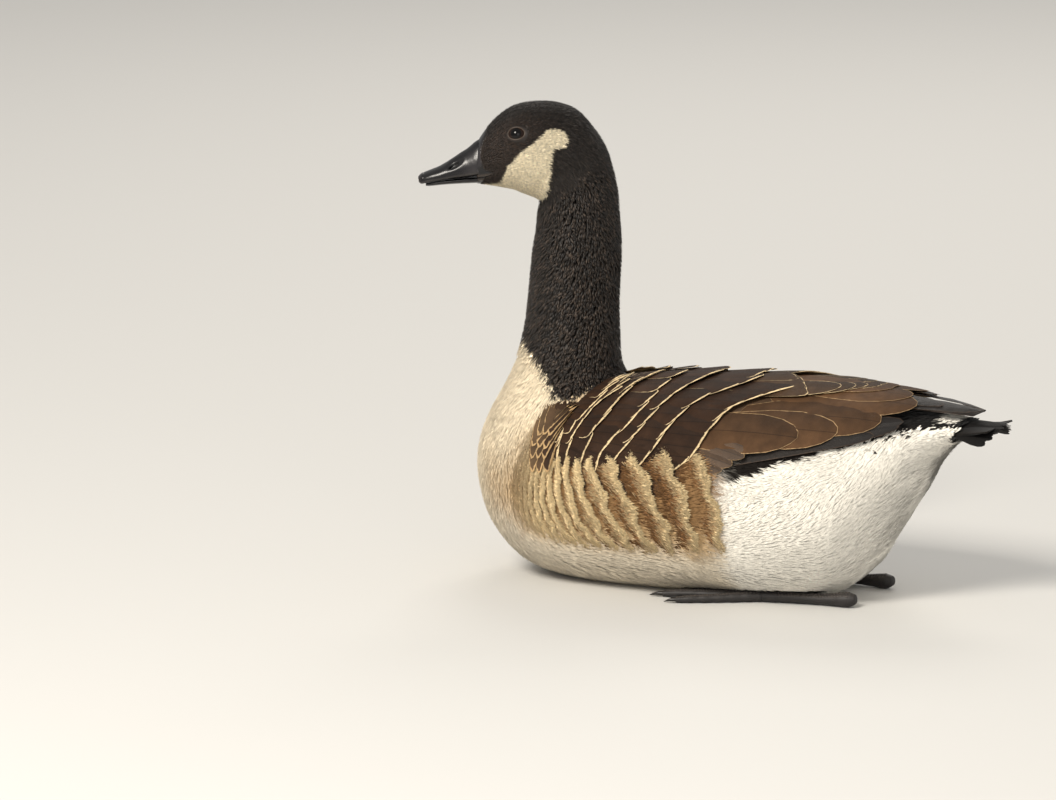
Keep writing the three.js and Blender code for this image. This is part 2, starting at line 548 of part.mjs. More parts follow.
const footLeft = largest(foot(0));
const footRoom = foot(seam);
const shankLeft = largest(lying(shank, 0).subtract(footRoom));
const shankRoom = lying(shank, seam);
const thighLeft = largest(lying(thigh, 0).subtract(shankRoom));
const legRoom = joined([footRoom, shankRoom, lying(thigh, seam)]);
const wingWhole = wing();
const torsoRoom = torsoWhole(seam);

add("torso", largest(torsoWhole(0).subtract(legRoom).subtract(mirrored(legRoom))), "plumage");
add("neck", loft(bodyRings(neckBase, headBase, 9, true)), "black");
add("head", head(), "black");
add("bill_upper", upperBill(), "horn");
add("bill_lower", billHalf(lowerBillSections), "horn");
add("eye_left", eyeball(1, 0), "eye");
add("eye_right", eyeball(-1, 0), "eye");
add("wing_left", largest(wingWhole.subtract(torsoRoom)), "wing");
add("wing_right", largest(mirrored(wingWhole).subtract(torsoRoom)), "wing");
add("tail", largest(tailFan().subtract(torsoRoom)), "black");
add("thigh_left", thighLeft, "plumage");
add("thigh_right", mirrored(thighLeft), "plumage");
add("shank_left", shankLeft, "foot");
add("shank_right", mirrored(shankLeft), "foot");
add("foot_left", footLeft, "foot");
add("foot_right", mirrored(footLeft), "foot");

export default goose;
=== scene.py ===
import math
import bpy
import numpy as np
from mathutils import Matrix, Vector

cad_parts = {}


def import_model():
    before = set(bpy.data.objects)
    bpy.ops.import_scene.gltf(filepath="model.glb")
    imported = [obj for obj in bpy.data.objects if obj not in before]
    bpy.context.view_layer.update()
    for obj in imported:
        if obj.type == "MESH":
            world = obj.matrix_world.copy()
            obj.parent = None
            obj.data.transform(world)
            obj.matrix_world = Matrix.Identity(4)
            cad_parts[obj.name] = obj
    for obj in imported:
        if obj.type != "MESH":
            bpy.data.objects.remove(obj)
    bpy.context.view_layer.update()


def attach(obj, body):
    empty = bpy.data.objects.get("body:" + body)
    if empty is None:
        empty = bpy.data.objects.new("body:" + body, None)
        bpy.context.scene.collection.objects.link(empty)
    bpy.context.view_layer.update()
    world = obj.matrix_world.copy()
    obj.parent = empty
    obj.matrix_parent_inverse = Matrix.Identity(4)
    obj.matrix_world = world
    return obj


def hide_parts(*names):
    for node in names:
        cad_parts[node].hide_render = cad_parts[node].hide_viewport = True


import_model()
mm = 0.001  # every size below is in millimetres, and buildPiece turns it into metres

# The goose's own shape, from the same numbers as the solids. It faces -Y and its left side is +X.
stance = {"neckY": -146, "headTurn": 25, "turnFrom": 215, "turnTo": 325, "turnAhead": -60}
# Each row is the back's y and z, the belly's y and z, the half width, where it is widest, and the fullness
# above and below that (2 is an ellipse). They run from the tail's root to the bill's base.
bodyRows = np.array([
    [267, 168.6, 265.4, 164, 31, 0.6, 2, 2],
    [257, 169.4, 252, 158, 30, 0.6, 2, 2],
    [246, 170, 238, 152.5, 28, 0.58, 2, 2],
    [236, 170.4, 223, 148, 28, 0.56, 2, 2],
    [216, 174, 201, 120, 38, 0.58, 2, 2],
    [190, 178, 180, 84, 55, 0.58, 2, 2],
    [158, 182, 157, 46, 72, 0.55, 2, 2],
    [118, 187, 127, 12, 87, 0.5, 2, 2.1],
    [70, 190, 80, -2, 97, 0.47, 2, 2.2],
    [15, 191, 20, -4, 102, 0.45, 2, 2.2],
    [-40, 189, -50, -4, 103, 0.45, 2, 2.2],
    [-80, 186, -118, -3, 100, 0.45, 2, 2.2],
    [-96, 183, -176, 7, 95, 0.46, 2, 2.1],
    [-102, 183, -213, 35, 87, 0.48, 2, 2],
    [-104.5, 186, -231, 70, 79, 0.5, 2, 2],
    [-106, 191, -236, 106, 68, 0.52, 2, 2],
    [-106.5, 199, -227, 140, 57, 0.52, 2, 2],
    [-106.5, 209, -211, 170, 48, 0.52, 2, 2],
    [-106.5, 222, -199.5, 197, 42, 0.5, 2, 2],
    [-106.5, 243, -193, 226, 38, 0.5, 2, 2],
    [-106, 268, -189, 257, 36, 0.5, 2, 2],
    [-105, 295, -185.5, 287, 35, 0.5, 2, 2],
    [-106, 322, -182, 313, 34.5, 0.5, 2, 2],
    [-108.5, 346, -180, 331, 34, 0.5, 2, 2],
    [-112.5, 367, -178.5, 338.5, 33.5, 0.5, 2, 2],
    [-119, 387, -178.5, 340.5, 33.5, 0.48, 2, 2],
    [-130, 405, -181, 342, 33, 0.46, 2, 2],
    [-145, 421.5, -186, 344.5, 32.5, 0.44, 2, 2.1],
    [-163, 428.5, -193, 347, 32, 0.42, 2, 2.1],
    [-183, 429.5, -202, 350.5, 30.5, 0.42, 2, 2.1],
    [-201, 426, -212, 352.5, 28, 0.44, 2, 2.1],
    [-214, 418, -221, 354, 24.5, 0.46, 2, 2.1],
    [-225, 407, -228.5, 355, 20.5, 0.46, 2, 2.1],
    [-234, 394.5, -235, 355.5, 16, 0.45, 2, 2.2],
])
tailRows = 3  # rows before place 0, which is the rump
bodyEnds = (-tailRows, len(bodyRows) - 1 - tailRows)  # places along the body count from the rump to the bill
# The folded wing's surface, from the shoulder to the tip, in the same columns.
wingRows = np.array([
    [-103, 186, -214, 35, 89.5, 0.48, 2, 2],
    [-97, 187, -178, 7, 98, 0.46, 2, 2],
    [-82, 190, -120, -4, 104, 0.45, 2, 2],
    [-40, 194, -50, -5, 108, 0.45, 2, 2],
    [15, 197, 20, -5, 108, 0.45, 2, 2],
    [70, 198.5, 80, 0, 103, 0.47, 2, 2],
    [118, 197, 124, 18, 92, 0.5, 2, 2],
    [160, 194.5, 157, 58, 72, 0.55, 2, 2],
    [195, 191, 190, 110, 48, 0.55, 2, 2],
    [222, 187, 215, 145, 29, 0.55, 2, 2],
    [243, 182.5, 238, 165, 12, 0.55, 2, 2],
])
# The angles of the wing's top and lower edge along it, in degrees from the middle of the back.
wingEdges = np.array([[30, 84], [18, 78], [12, 74], [7, 71], [4, 67], [3, 61], [2.5, 57], [2.5, 60],
                      [2.5, 70], [3, 84], [4, 95]], float)
hands = ((1, "left"), (-1, "right"))  # the sign of x on each side, and its name
# the front of the wing's lower edge dips under the flank's feathers, at these shares of its depth and places
wingDip = {"deep": 7, "shares": (0.78, 1.05), "places": (3.6, 4.8)}
# the middle line of the left leg from the heel to the middle toe: x, y and the height of its upper side
legLine = np.array([[43, 150, 15], [43.5, 138, 14.5], [46, 116, 11.5], [50, 86, 11], [54, 62, 11.5],
                    [52, 4, 7.5], [53, -18, 4]])
# how high the belly's cover keeps over the floor and over the legs, and how far to their sides it still does
# so
bellyCover = {"overFloor": 0.3, "overLegs": 1, "reach": (6, 13)}


def smooth(x, low, high):  # 0 below low, 1 above high and a soft slope between them
    t = np.clip((np.asarray(x, float) - low) / (high - low), 0, 1)
    return t * t * (3 - 2 * t)


def before(x, span):  # 1 below the span and 0 above it
    return 1 - smooth(x, *span)


def after(x, span):
    return smooth(x, *span)


def turns(count):  # angles spaced evenly over a full turn
    return np.arange(count) * 2 * np.pi / count


def pair(x, y):
    return np.stack(np.broadcast_arrays(x, y), -1)


def dot(a, b):
    return (a * b).sum(-1)


def unit(v):
    return v / np.maximum(np.linalg.norm(v, axis=-1, keepdims=True), 1e-9)


def throughRows(rows, u):  # a smooth line through the rows
    last = len(rows) - 1
    i = np.clip(np.floor(u).astype(int), 0, last - 1)
    f = np.clip(u - i, -0.5, 1.5)[..., None]
    p1, p2 = rows[i], rows[i + 1]
    p0 = np.where((i > 0)[..., None], rows[np.maximum(i - 1, 0)], 2 * p1 - p2)
    p3 = np.where((i < last - 1)[..., None], rows[np.minimum(i + 2, last)], 2 * p2 - p1)
    return p1 + 0.5 * f * (p2 - p0 + f * (2 * p0 - 5 * p1 + 4 * p2 - p3 + f * (3 * (p1 - p2) + p3 - p0)))


def tubePoint(rows, u, a):  # u along the rows, a round from the back by the left side
    backY, backZ, bellyY, bellyZ, half, wide, high, low = np.moveaxis(throughRows(rows, u), -1, 0)
    midY, midZ = bellyY + (backY - bellyY) * wide, bellyZ + (backZ - bellyZ) * wide
    c, s = np.cos(a), np.sin(a)
    power = 2 / np.where(c > 0, high, low)
    reach = np.sign(c) * np.abs(c) ** power
    up = reach > 0
    return np.stack([half * np.sign(s) * np.abs(s) ** power,
                     midY + np.where(up, backY - midY, midY - bellyY) * reach,
                     midZ + np.where(up, backZ - midZ, midZ - bellyZ) * reach], -1)


def turned(p):  # the head looks a little to the bird's left
    phi = math.radians(stance["headTurn"]) * smooth(p[..., 2], stance["turnFrom"], stance["turnTo"])
    phi = phi * (p[..., 1] < stance["turnAhead"])
    dx, dy = p[..., 0], p[..., 1] - stance["neckY"]
    return np.stack([dx * np.cos(phi) - dy * np.sin(phi),
                     stance["neckY"] + dx * np.sin(phi) + dy * np.cos(phi), p[..., 2]], -1)


def straightBody(u, a):
    u, a = np.broadcast_arrays(np.asarray(u, float), np.asarray(a, float))
    return tubePoint(bodyRows, u + tailRows, a)


def bodyAt(u, a):
    p = turned(straightBody(u, a))
    p[..., 2] = np.maximum(p[..., 2], 0)
    return p


bodySkin = {"at": bodyAt, "facing": 1, "rear": -1}  # rear is the way towards the tail along u


def clearHeight(p):
    x, y = np.abs(p[..., 0]), p[..., 1]
    height = np.full(x.shape, bellyCover["overFloor"])
    for (x0, y0, z0), (x1, y1, z1) in zip(legLine, legLine[1:]):
        t = np.clip(((x - x0) * (x1 - x0) + (y - y0) * (y1 - y0)) / ((x1 - x0) ** 2 + (y1 - y0) ** 2), 0, 1)
        gap = np.hypot(x - x0 - t * (x1 - x0), y - y0 - t * (y1 - y0))
        overLeg = z0 + t * (z1 - z0) + bellyCover["overLegs"]
        height = np.maximum(height, overLeg * before(gap, bellyCover["reach"]))
    return height


def skinFrame(skin, u, a):  # the skin's two slopes and its outward normal
    e, g = 0.02, 0.01
    along = (skin["at"](u + e, a) - skin["at"](u - e, a)) / (2 * e)
    around = (skin["at"](u, a + g) - skin["at"](u, a - g)) / (2 * g)
    return along, around, unit(np.cross(along, around)) * skin["facing"]


def wingSkin(side):  # a is the share of the way from the wing's top edge to its lower edge
    def tube(u, r):
        u, r = np.broadcast_arrays(np.asarray(u, float), np.asarray(r, float))
        edges = throughRows(wingEdges, u)
        angle = np.radians(edges[..., 0] + (edges[..., 1] - edges[..., 0]) * r)
        return tubePoint(wingRows, u, angle) * [side, 1, 1]

    bare = {"at": tube, "facing": -side}

    def at(u, r):
        u, r = np.broadcast_arrays(np.asarray(u, float), np.asarray(r, float))
        dip = wingDip["deep"] * after(r, wingDip["shares"]) * before(u, wingDip["places"])
        return tube(u, r) - skinFrame(bare, u, r)[2] * dip[..., None]

    return {"at": at, "facing": -side, "rear": 1}


def slide(along, around, v):  # the change of u and a that moves a point by v over the skin
    aa, ar, rr = dot(along, along), dot(along, around), dot(around, around)
    va, vr = dot(along, v), dot(around, v)
    det = np.maximum(aa * rr - ar * ar, 1e-6)
    return (rr * va - ar * vr) / det, (aa * vr - ar * va) / det


def cellNoise(p, size, seed=0):  # soft random values from -1 to 1, about one for each cell of that size
    q = np.asarray(p, float) / size
    i = np.floor(q).astype(np.int64)
    f = q - i
    f = f * f * (3 - 2 * f)
    total = np.zeros(q.shape[:-1])
    for dx in (0, 1):
        for dy in (0, 1):
            for dz in (0, 1):
                mix = (i[..., 0] + dx) * 374761393 + (i[..., 1] + dy) * 668265263
                mix = mix + (i[..., 2] + dz) * 2147483629 + seed * 144665
                mix = (mix ^ (mix >> 13)) * 1274126177
                value = ((mix ^ (mix >> 16)) & 0xFFFFFF) / 0xFFFFFF
                weight = 1.0
                for k, d in enumerate((dx, dy, dz)):
                    weight = weight * (f[..., k] if d else 1 - f[..., k])
                total = total + value * weight
    return total * 2 - 1


def linear(hexColour):  # an sRGB hex colour as the linear one that Blender takes
    c = [int(hexColour[i:i + 2], 16) / 255 for i in (1, 3, 5)]
    return np.array([x / 12.92 if x <= 0.04045 else ((x + 0.055) / 1.055) ** 2.4 for x in c])


def blendTo(base, colour, amount):
    return base + (colour - base) * np.asarray(amount)[..., None]


def inMap(share):  # keeps a share of the way clear of the map's edge
    return share * 0.98 + 0.01


# Markings of the coat, for the skin and for every tuft alike
coat = {"black": "#17120e", "face": "#20160f", "cheek": "#f6e8c8", "breast": "#efdfc2", "tan": "#c4a57a",
        "flank": "#8a6a46", "belly": "#e8dcc6", "white": "#fbf6ea", "rump": "#0e0c0b", "mantle": "#3a291c"}
tone = {name: linear(value) for name, value in coat.items()}
# two patterns that shade the coat and make its borders ragged, as sizes in mm and how much they shade
mottle = {"fine": 5, "broad": 26, "fineShade": 0.05, "broadShade": 0.06}
# Each patch of colour ends at front towards the neck, starts at high and ends at low on the side, in degrees
# from the middle of the back, and wander is how far its front edge strays.
patches = {"tan": {"front": (10.0, 12.6), "wander": -0.4, "low": (112, 150)},
           "belly": {"front": (9.5, 11.5), "high": (100, 125)},
           "flank": {"front": (9.0, 11.0), "wander": 0.2, "low": (92, 104)},
           "mantle": {"front": (10.6, 10.9), "low": (45, 60)}}
# thin brown bars where the breast meets the flank
bars = {"often": 27, "waver": (0.6, 2.2), "front": (10.8, 12.3), "rear": (8.8, 9.6), "high": (40, 60),
        "low": (112, 140), "width": (-0.1, 0.9), "depth": 0.55}
# the face is brown against the black of the neck, and the cheek lies ahead of cheekRear
faceMarks = {"rear": (24, 27.5), "high": (25, 55), "depth": 0.8, "cheekRear": 21, "cheekRagged": 1.1,
             "raggedSize": 3, "cheekEdge": (-0.7, 0.7)}
# where the black of the neck ends, as angles from the back and places along the body, and how ragged that is
neckBorder = {"angles": [0, 34.5, 53, 63.5, 78, 95, 109, 136, 180],
              "places": [10.9, 11.27, 11.8, 12.6, 13.75, 14.65, 15.1, 15.5, 15.6],
              "ragged": (0.16, 0.1), "edge": (-0.12, 0.12)}
# the white rear, how far down its sides the black of the rump reaches, in degrees at places from the tail
# forwards, and the white band that crosses the rump over the tail
rump = {"whiteFront": (5.7, 6.1), "end": (-0.1, 0.2), "places": [0.2, 1.25, 2.2, 3.05, 4.2, 4.9, 5.3, 5.8],
        "degrees": [56, 48, 59, 61, 58, 63, 66, 71], "bandRear": (0.5, 0.7), "bandFront": (1.3, 1.5),
        "bandLow": (30, 38), "ragged": 0.12, "lowRagged": 2.5, "lowEdge": (-1, 1), "endRagged": 0.1}
# the white cheek, seen from the side before the head turns, as y and z
cheekOutline = np.array([
    [-216.3, 360.6], [-208.9, 376.2], [-199.9, 387.5], [-191, 393.6], [-183.7, 400.9], [-176.2, 408.2],
    [-168, 409.4], [-160, 407], [-157, 402], [-160, 396], [-170.5, 391.5], [-173, 380.4],
    [-174, 368.1], [-175, 356.7], [-176.5, 349], [-182, 343], [-196, 343], [-214, 346],
    [-231, 351], [-230, 356.2], [-219, 357.6]])


def insideOutline(y, z, outline):  # distance in from the outline, less than 0 outside it
    nearest = np.full(y.shape, 1e9)
    inside = np.zeros(y.shape, bool)
    for (y0, z0), (y1, z1) in zip(outline, np.roll(outline, -1, axis=0)):
        t = np.clip(((y - y0) * (y1 - y0) + (z - z0) * (z1 - z0)) / ((y1 - y0) ** 2 + (z1 - z0) ** 2), 0, 1)
        nearest = np.minimum(nearest, np.hypot(y - y0 - t * (y1 - y0), z - z0 - t * (z1 - z0)))
        crosses = (z0 > z) != (z1 > z)
        with np.errstate(divide="ignore", invalid="ignore"):
            inside ^= crosses & (y < y0 + (z - z0) * (y1 - y0) / (z1 - z0))
    return np.where(inside, nearest, -nearest)


def foldAngle(a):  # degrees from the middle of the back on either side
    return np.degrees(np.abs((np.asarray(a) + np.pi) % (2 * np.pi) - np.pi))


def borderPlace(degrees):
    return np.interp(degrees, neckBorder["angles"], neckBorder["places"])


def bodyTint(u, a):  # the coat's colour at place u and angle a
    u, a = np.broadcast_arrays(np.asarray(u, float), np.asarray(a, float))
    straight = straightBody(u, a)
    degrees = foldAngle(a)
    fine, broad = cellNoise(straight, mottle["fine"], 1), cellNoise(straight, mottle["broad"], 2)
    colour = np.broadcast_to(tone["breast"], u.shape + (3,))
    for name, patch in patches.items():
        amount = before(u + patch.get("wander", 0) * broad, patch["front"])
        if "low" in patch:
            amount = amount * before(degrees, patch["low"])
        if "high" in patch:
            amount = amount * after(degrees, patch["high"])
        colour = blendTo(colour, tone[name], amount)
    rear = before(u + rump["ragged"] * fine, rump["whiteFront"])
    colour = blendTo(colour, tone["white"], rear)
    limit = np.interp(u, rump["places"], rump["degrees"])
    band = after(u, rump["bandRear"]) * before(u, rump["bandFront"]) * before(degrees, rump["bandLow"])
    black = before(degrees + rump["lowRagged"] * fine - limit, rump["lowEdge"]) * (1 - band)
    black = np.maximum(black, before(u + rump["endRagged"] * fine, rump["end"]))
    colour = blendTo(colour, tone["rump"], rear * black)
    line = np.sin(u * bars["often"] + bars["waver"][1] * broad + bars["waver"][0] * fine)
    line = after(line * before(u, bars["front"]) * after(u, bars["rear"]), bars["width"])
    line = line * after(degrees, bars["high"]) * before(degrees, bars["low"])
    colour = blendTo(colour, tone["flank"], bars["depth"] * line)
    ragged = u + neckBorder["ragged"][0] * fine + neckBorder["ragged"][1] * broad - borderPlace(degrees)
    colour = blendTo(colour, tone["black"], after(ragged, neckBorder["edge"]))
    brown = faceMarks["depth"] * after(u, faceMarks["rear"]) * after(degrees, faceMarks["high"])
    colour = blendTo(colour, tone["face"], brown)
    edge = insideOutline(straight[..., 1], straight[..., 2], cheekOutline)
    edge = edge + faceMarks["cheekRagged"] * cellNoise(straight, faceMarks["raggedSize"], 5)
    colour = blendTo(colour, tone["cheek"],
                     after(edge, faceMarks["cheekEdge"]) * (u > faceMarks["cheekRear"]))
    return colour * (1 + mottle["broadShade"] * broad + mottle["fineShade"] * fine)[..., None]


# Meshes
def featherForm(stations, columns):
    # one feather's faces: rows of points from its root to its tip, one point where it has no width
    rows, count = [], 0
    for _, share in stations:
        across = 1 if share == 0 else len(columns)
        rows.append(list(range(count, count + across)))
        count += across
    faces = []
    for p, q in zip(rows, rows[1:]):
        if len(p) == 1:
            faces += [[p[0], q[j], q[j + 1]] for j in range(len(q) - 1)] + [[p[0], q[-1], q[0]]]
        elif len(q) == 1:
            faces += [[p[j + 1], p[j], q[0]] for j in range(len(p) - 1)] + [[p[0], p[-1], q[0]]]
        else:
            faces += [[p[j], q[j], q[j + 1], p[j + 1]] for j in range(len(p) - 1)]
            faces += [[p[-1], q[-1], q[0], p[0]]]
    return faces


def skinWays(skin, u, a):
    # the skin's slopes and normal at u, a, the way to the tail and the way across it towards greater a
    along, around, normal = skinFrame(skin, u, a)
    rear = unit(along) * skin["rear"]
    across = unit(around - dot(around, rear)[:, None] * rear)
    return along, around, normal, rear, across


def laidOn(way, normal):
    return unit(way - dot(way, normal)[:, None] * normal)


def layFeathers(skin, u, a, lie, long, wide, form, tints, edges=None, patch=None):
    # Lays a feather at each u, a, where lie is its turn from the way to the tail towards greater a. Its
    # height goes from rootRise to rise at the tip. crown is how far its middle stands over its sides, roll
    # how far one side stands over the other and skew how far it runs ahead.
    stations, columns = form["stations"], form["columns"]
    u, a, lie = [np.array(x, float) for x in np.broadcast_arrays(u, a, lie)]
    n = len(u)
    long, wide = np.broadcast_to(long, n).astype(float), np.broadcast_to(wide, n).astype(float)
    rise, rootRise = np.broadcast_to(form["rise"], n), np.broadcast_to(form["rootRise"], n)
    skew = np.broadcast_to(form.get("skew", 0), n)
    roll = np.broadcast_to(form.get("roll", 0), n)
    rootU, rootA = u.copy(), a.copy()
    along, around, normal, rear, across = skinWays(skin, u, a)
    way = rear * np.cos(lie)[:, None] + across * np.sin(lie)[:, None]
    points, marks, shares, normals = [], [], [], []
    done = 0
    for s, share in stations:
        if s > done:
            du, da = slide(along, around, way * ((s - done) * long)[:, None])
            u, a = u + du, a + da
            along, around, normal = skinFrame(skin, u, a)
            way = laidOn(way, normal)
            done = s
        side = np.cross(normal, way)
        for t in ([0.0] if share == 0 else columns):
            reach = side * (t * share * wide / 2)[:, None]
            reach = reach + way * (skew * t * share * s * s * wide / 2)[:, None]
            if form.get("hug"):
                du, da = slide(along, around, reach)
                place = skin["at"](u + du, a + da)
            else:
                place = skin["at"](u, a) + reach
            lift = rootRise + (rise - rootRise) * s + form["crown"] * (1 - t * t) * share + roll * t * share
            if "wave" in form:
                lift = lift + form["wave"] * share * cellNoise(place, form["waveSize"], 11)
            points.append(place + normal * lift[:, None])
            normals.append(normal)
            # mm to the pale edge, which is wide at the tip and thin along the sides
            thin = form.get("sideEdge", 1) + form.get("sideFade", 0) * (1 - s)
            edge = np.minimum(share * wide / 2 * (1 - abs(t)) * thin, (1 - s) * long / np.sqrt(1 + skew ** 2))
            marks.append(np.stack([t * share * wide / 2, s * long, edge], -1))
            shares.append((t * share, s))
    points = np.stack(points, 1)
    points[..., 2] = np.maximum(points[..., 2], clearHeight(points))
    shares = np.array(shares)
    colours = tints if tints.ndim == 3 else np.repeat(tints[:, None], len(shares), 1)
    if edges is None:
        edgeColours = np.concatenate([colours, np.zeros(colours.shape[:2] + (1,))], -1)
    else:
        edgeColours = np.repeat(edges[:, None], len(shares), 1)
    if patch is None:  # a small patch at the root's place on the unwrapped skin
        root = inMap(bodyMap(rootU, rootA))
        uv = root[:, None] + np.stack([shares[:, 0], shares[:, 1] - 0.5], -1) * [0.0015, 0.003]
    else:  # a cell of its own, since there are few
        corners, size = patch
        uv = corners[:, None] + (shares * [0.46, 0.94] + [0.5, 0.03]) * size
    return {"points": points, "marks": np.stack(marks, 1), "tint": colours, "edge": edgeColours, "uv": uv,
            "faces": featherForm(stations, columns), "normals": np.stack(normals, 1)}


def bodyMap(u, a):  # the body unwrapped, from 0 to 1 each way
    return np.stack([a / (2 * np.pi) % 1, (u - bodyEnds[0]) / (bodyEnds[1] - bodyEnds[0])], -1)


def patchCells(count, first=0, total=None):
    # a grid of cells over the whole map, one for each feather, as their corners and their size
    side = math.ceil(math.sqrt(total or count))
    k = np.arange(first, first + count)
    return np.stack([k % side, k // side], -1) / side, 1 / side


def addAttribute(mesh, name, values):  # colours have four columns and vectors three
    kind, field = ("FLOAT_COLOR", "color") if values.shape[1] == 4 else ("FLOAT_VECTOR", "vector")
    store = mesh.attributes.new(name, kind, "POINT")
    store.data.foreach_set(field, values.astype(np.float32).ravel())


def finishPiece(name, mesh, stands=()):
    piece = bpy.data.objects.new(name, mesh)
    bpy.context.scene.collection.objects.link(piece)
    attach(piece, "root")
    if stands:
        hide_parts(*stands)
    print(name, "has", len(mesh.loops) - 2 * len(mesh.polygons), "triangles")


def buildPiece(name, sets, material, stands=(), sharp=None, soft=0.0):
    # soft turns the shading towards the body's own, as light does that scatters among fine barbs
    values = {key: np.concatenate([s[key].reshape(-1, s[key].shape[-1]) for s in sets])
              for key in ("points", "marks", "tint", "edge", "uv")}
    points = values["points"]
    loops, totals = [], []
    base = 0
    for s in sets:
        n, v = s["points"].shape[:2]
        starts = base + np.arange(n)[:, None, None] * v
        for corners in (3, 4):
            faces = np.array([f for f in s["faces"] if len(f) == corners], int)
            if len(faces):
                block = (faces[None] + starts).reshape(-1)
                loops.append(block)
                totals.append(np.full(len(block) // corners, corners))
        base += n * v
    loops, totals = np.concatenate(loops), np.concatenate(totals)
    mesh = bpy.data.meshes.new(name)
    mesh.vertices.add(len(points))
    mesh.vertices.foreach_set("co", (points * mm).astype(np.float32).ravel())
    mesh.loops.add(len(loops))
    mesh.loops.foreach_set("vertex_index", loops.astype(np.int32))
    mesh.polygons.add(len(totals))
    mesh.polygons.foreach_set("loop_start", np.concatenate([[0], np.cumsum(totals)[:-1]]).astype(np.int32))
    mesh.update(calc_edges=True)
    mesh.polygons.foreach_set("use_smooth", np.ones(len(totals), bool))
    if sharp:
        mesh.set_sharp_from_angle(angle=math.radians(sharp))
    if soft:
        own = np.zeros(len(points) * 3, np.float32)
        mesh.vertex_normals.foreach_get("vector", own)
        under = np.concatenate([s["normals"].reshape(-1, 3) for s in sets])
        mesh.normals_split_custom_set_from_vertices(unit(own.reshape(-1, 3) * (1 - soft) + under * soft))
    addAttribute(mesh, "tint", np.concatenate([values["tint"], np.ones((len(points), 1))], 1))
    addAttribute(mesh, "edgeTint", values["edge"])
    addAttribute(mesh, "marks", values["marks"])
    uv = mesh.uv_layers.new(name="OFBake")
    uv.data.foreach_set("uv", values["uv"][loops].astype(np.float32).ravel())
    mesh.materials.append(material)
    finishPiece(name, mesh, stands)


def plainSet(points, tints, uv, faces, flip=False, rim=0.0):
    # one mesh as a set for buildPiece, where flip turns its faces and rim is its distance from a pale edge
    if flip:
        faces = [face[::-1] for face in faces]
    count = points.size // 3
    return {"points": points.reshape(1, count, 3), "marks": np.full((1, count, 3), rim), "faces": faces,
            "tint": tints.reshape(1, count, 3), "edge": np.zeros((1, count, 4)),
            "uv": uv.reshape(1, count, 2)}


def ringFaces(rings, sides, closed=False):  # closed joins the last ring to the first
    faces = []
    for i in range(rings if closed else rings - 1):
        n = (i + 1) % rings
        for j in range(sides):
            k = (j + 1) % sides
            faces.append([i * sides + j, i * sides + k, n * sides + k, n * sides + j])
    return faces


def gridSet(points, tints, uv, flip=False):
    # a tube of rings as one set for buildPiece, its ends closed by a fan
    rings, sides = points.shape[:2]
    faces = ringFaces(rings, sides)
    flat, colours, maps = points.reshape(-1, 3), tints.reshape(-1, 3), uv.reshape(-1, 2)
    for end in (0, rings - 1):
        ring = slice(end * sides, (end + 1) * sides)
        centre = len(flat)
        flat = np.concatenate([flat, flat[ring].mean(0)[None]])
        colours = np.concatenate([colours, colours[ring].mean(0)[None]])
        maps = np.concatenate([maps, maps[ring].mean(0)[None]])
        for j in range(sides):
            a, b = end * sides + j, end * sides + (j + 1) % sides
            faces.append([b, a, centre] if end == 0 else [a, b, centre])
    return plainSet(flat, colours, maps, faces, flip)


def sheetFaces(n, m):
    # a sheet with two faces of n by m points, the second after the first, joined all round their rim
    faces = []
    for i in range(n - 1):
        for j in range(m - 1):
            a, b, c, d = i * m + j, i * m + j + 1, (i + 1) * m + j + 1, (i + 1) * m + j
            faces += [[a, b, c, d], [n * m + a, n * m + d, n * m + c, n * m + b]]
    rim = [(0, j) for j in range(m)] + [(i, m - 1) for i in range(1, n)]
    rim += [(n - 1, j) for j in range(m - 2, -1, -1)] + [(i, 0) for i in range(n - 2, 0, -1)]
    for (i, j), (p, q) in zip(rim, rim[1:] + rim[:1]):
        faces.append([i * m + j, n * m + i * m + j, n * m + p * m + q, p * m + q])
    return faces


# Materials. Sizes of patterns are in mm, and vane holds what every feather's vane shares: the size of its
# worn edge's noise and how far that wears, the barbs' slope and waver, and how far the shaft's dark line
# reaches.
vane = {"wornSize": 3.846, "worn": 2.2, "slope": -1.3, "waver": 2.0, "shaft": (0.25, 0.6),
        "mottleSize": 11.11, "relief": 0.0003}


def addNode(tree, kind, settings=None, inputs=None):
    node = tree.nodes.new(kind)
    for name, value in (settings or {}).items():
        setattr(node, name, value)
    for name, value in (inputs or {}).items():
        if isinstance(value, bpy.types.NodeSocket):
            tree.links.new(value, node.inputs[name])
        else:
            node.inputs[name].default_value = value
    return node


def startMaterial(name, settings):
    material = bpy.data.materials.new(name)
    material.use_nodes = True
    tree = material.node_tree
    shader = tree.nodes["Principled BSDF"]
    for socket, value in settings.items():
        shader.inputs[socket].default_value = value
    return material, tree, shader


def addNoise(tree, size, detail, grain=0.0):  # a noise, and the shades round 1 that it gives
    place = addNode(tree, "ShaderNodeTexCoord").outputs["Object"]
    pattern = {"Vector": place, "Scale": 1000 / size, "Detail": detail}
    noise = addNode(tree, "ShaderNodeTexNoise", inputs=pattern).outputs["Fac"]
    shades = addNode(tree, "ShaderNodeMapRange", inputs={
        "Value": noise, "From Min": 0.3, "From Max": 0.7, "To Min": 1 - grain, "To Max": 1 + grain})
    return noise, shades.outputs[0]


def joinShader(tree, shader, colour, shade, height, strength, depth):
    final = addNode(tree, "ShaderNodeVectorMath", {"operation": "SCALE"}, {0: colour, "Scale": shade})
    tree.links.new(final.outputs[0], shader.inputs["Base Color"])
    if depth:
        relief = {"Strength": strength, "Distance": depth, "Height": height}
        bump = addNode(tree, "ShaderNodeBump", inputs=relief)
        tree.links.new(bump.outputs[0], shader.inputs["Normal"])


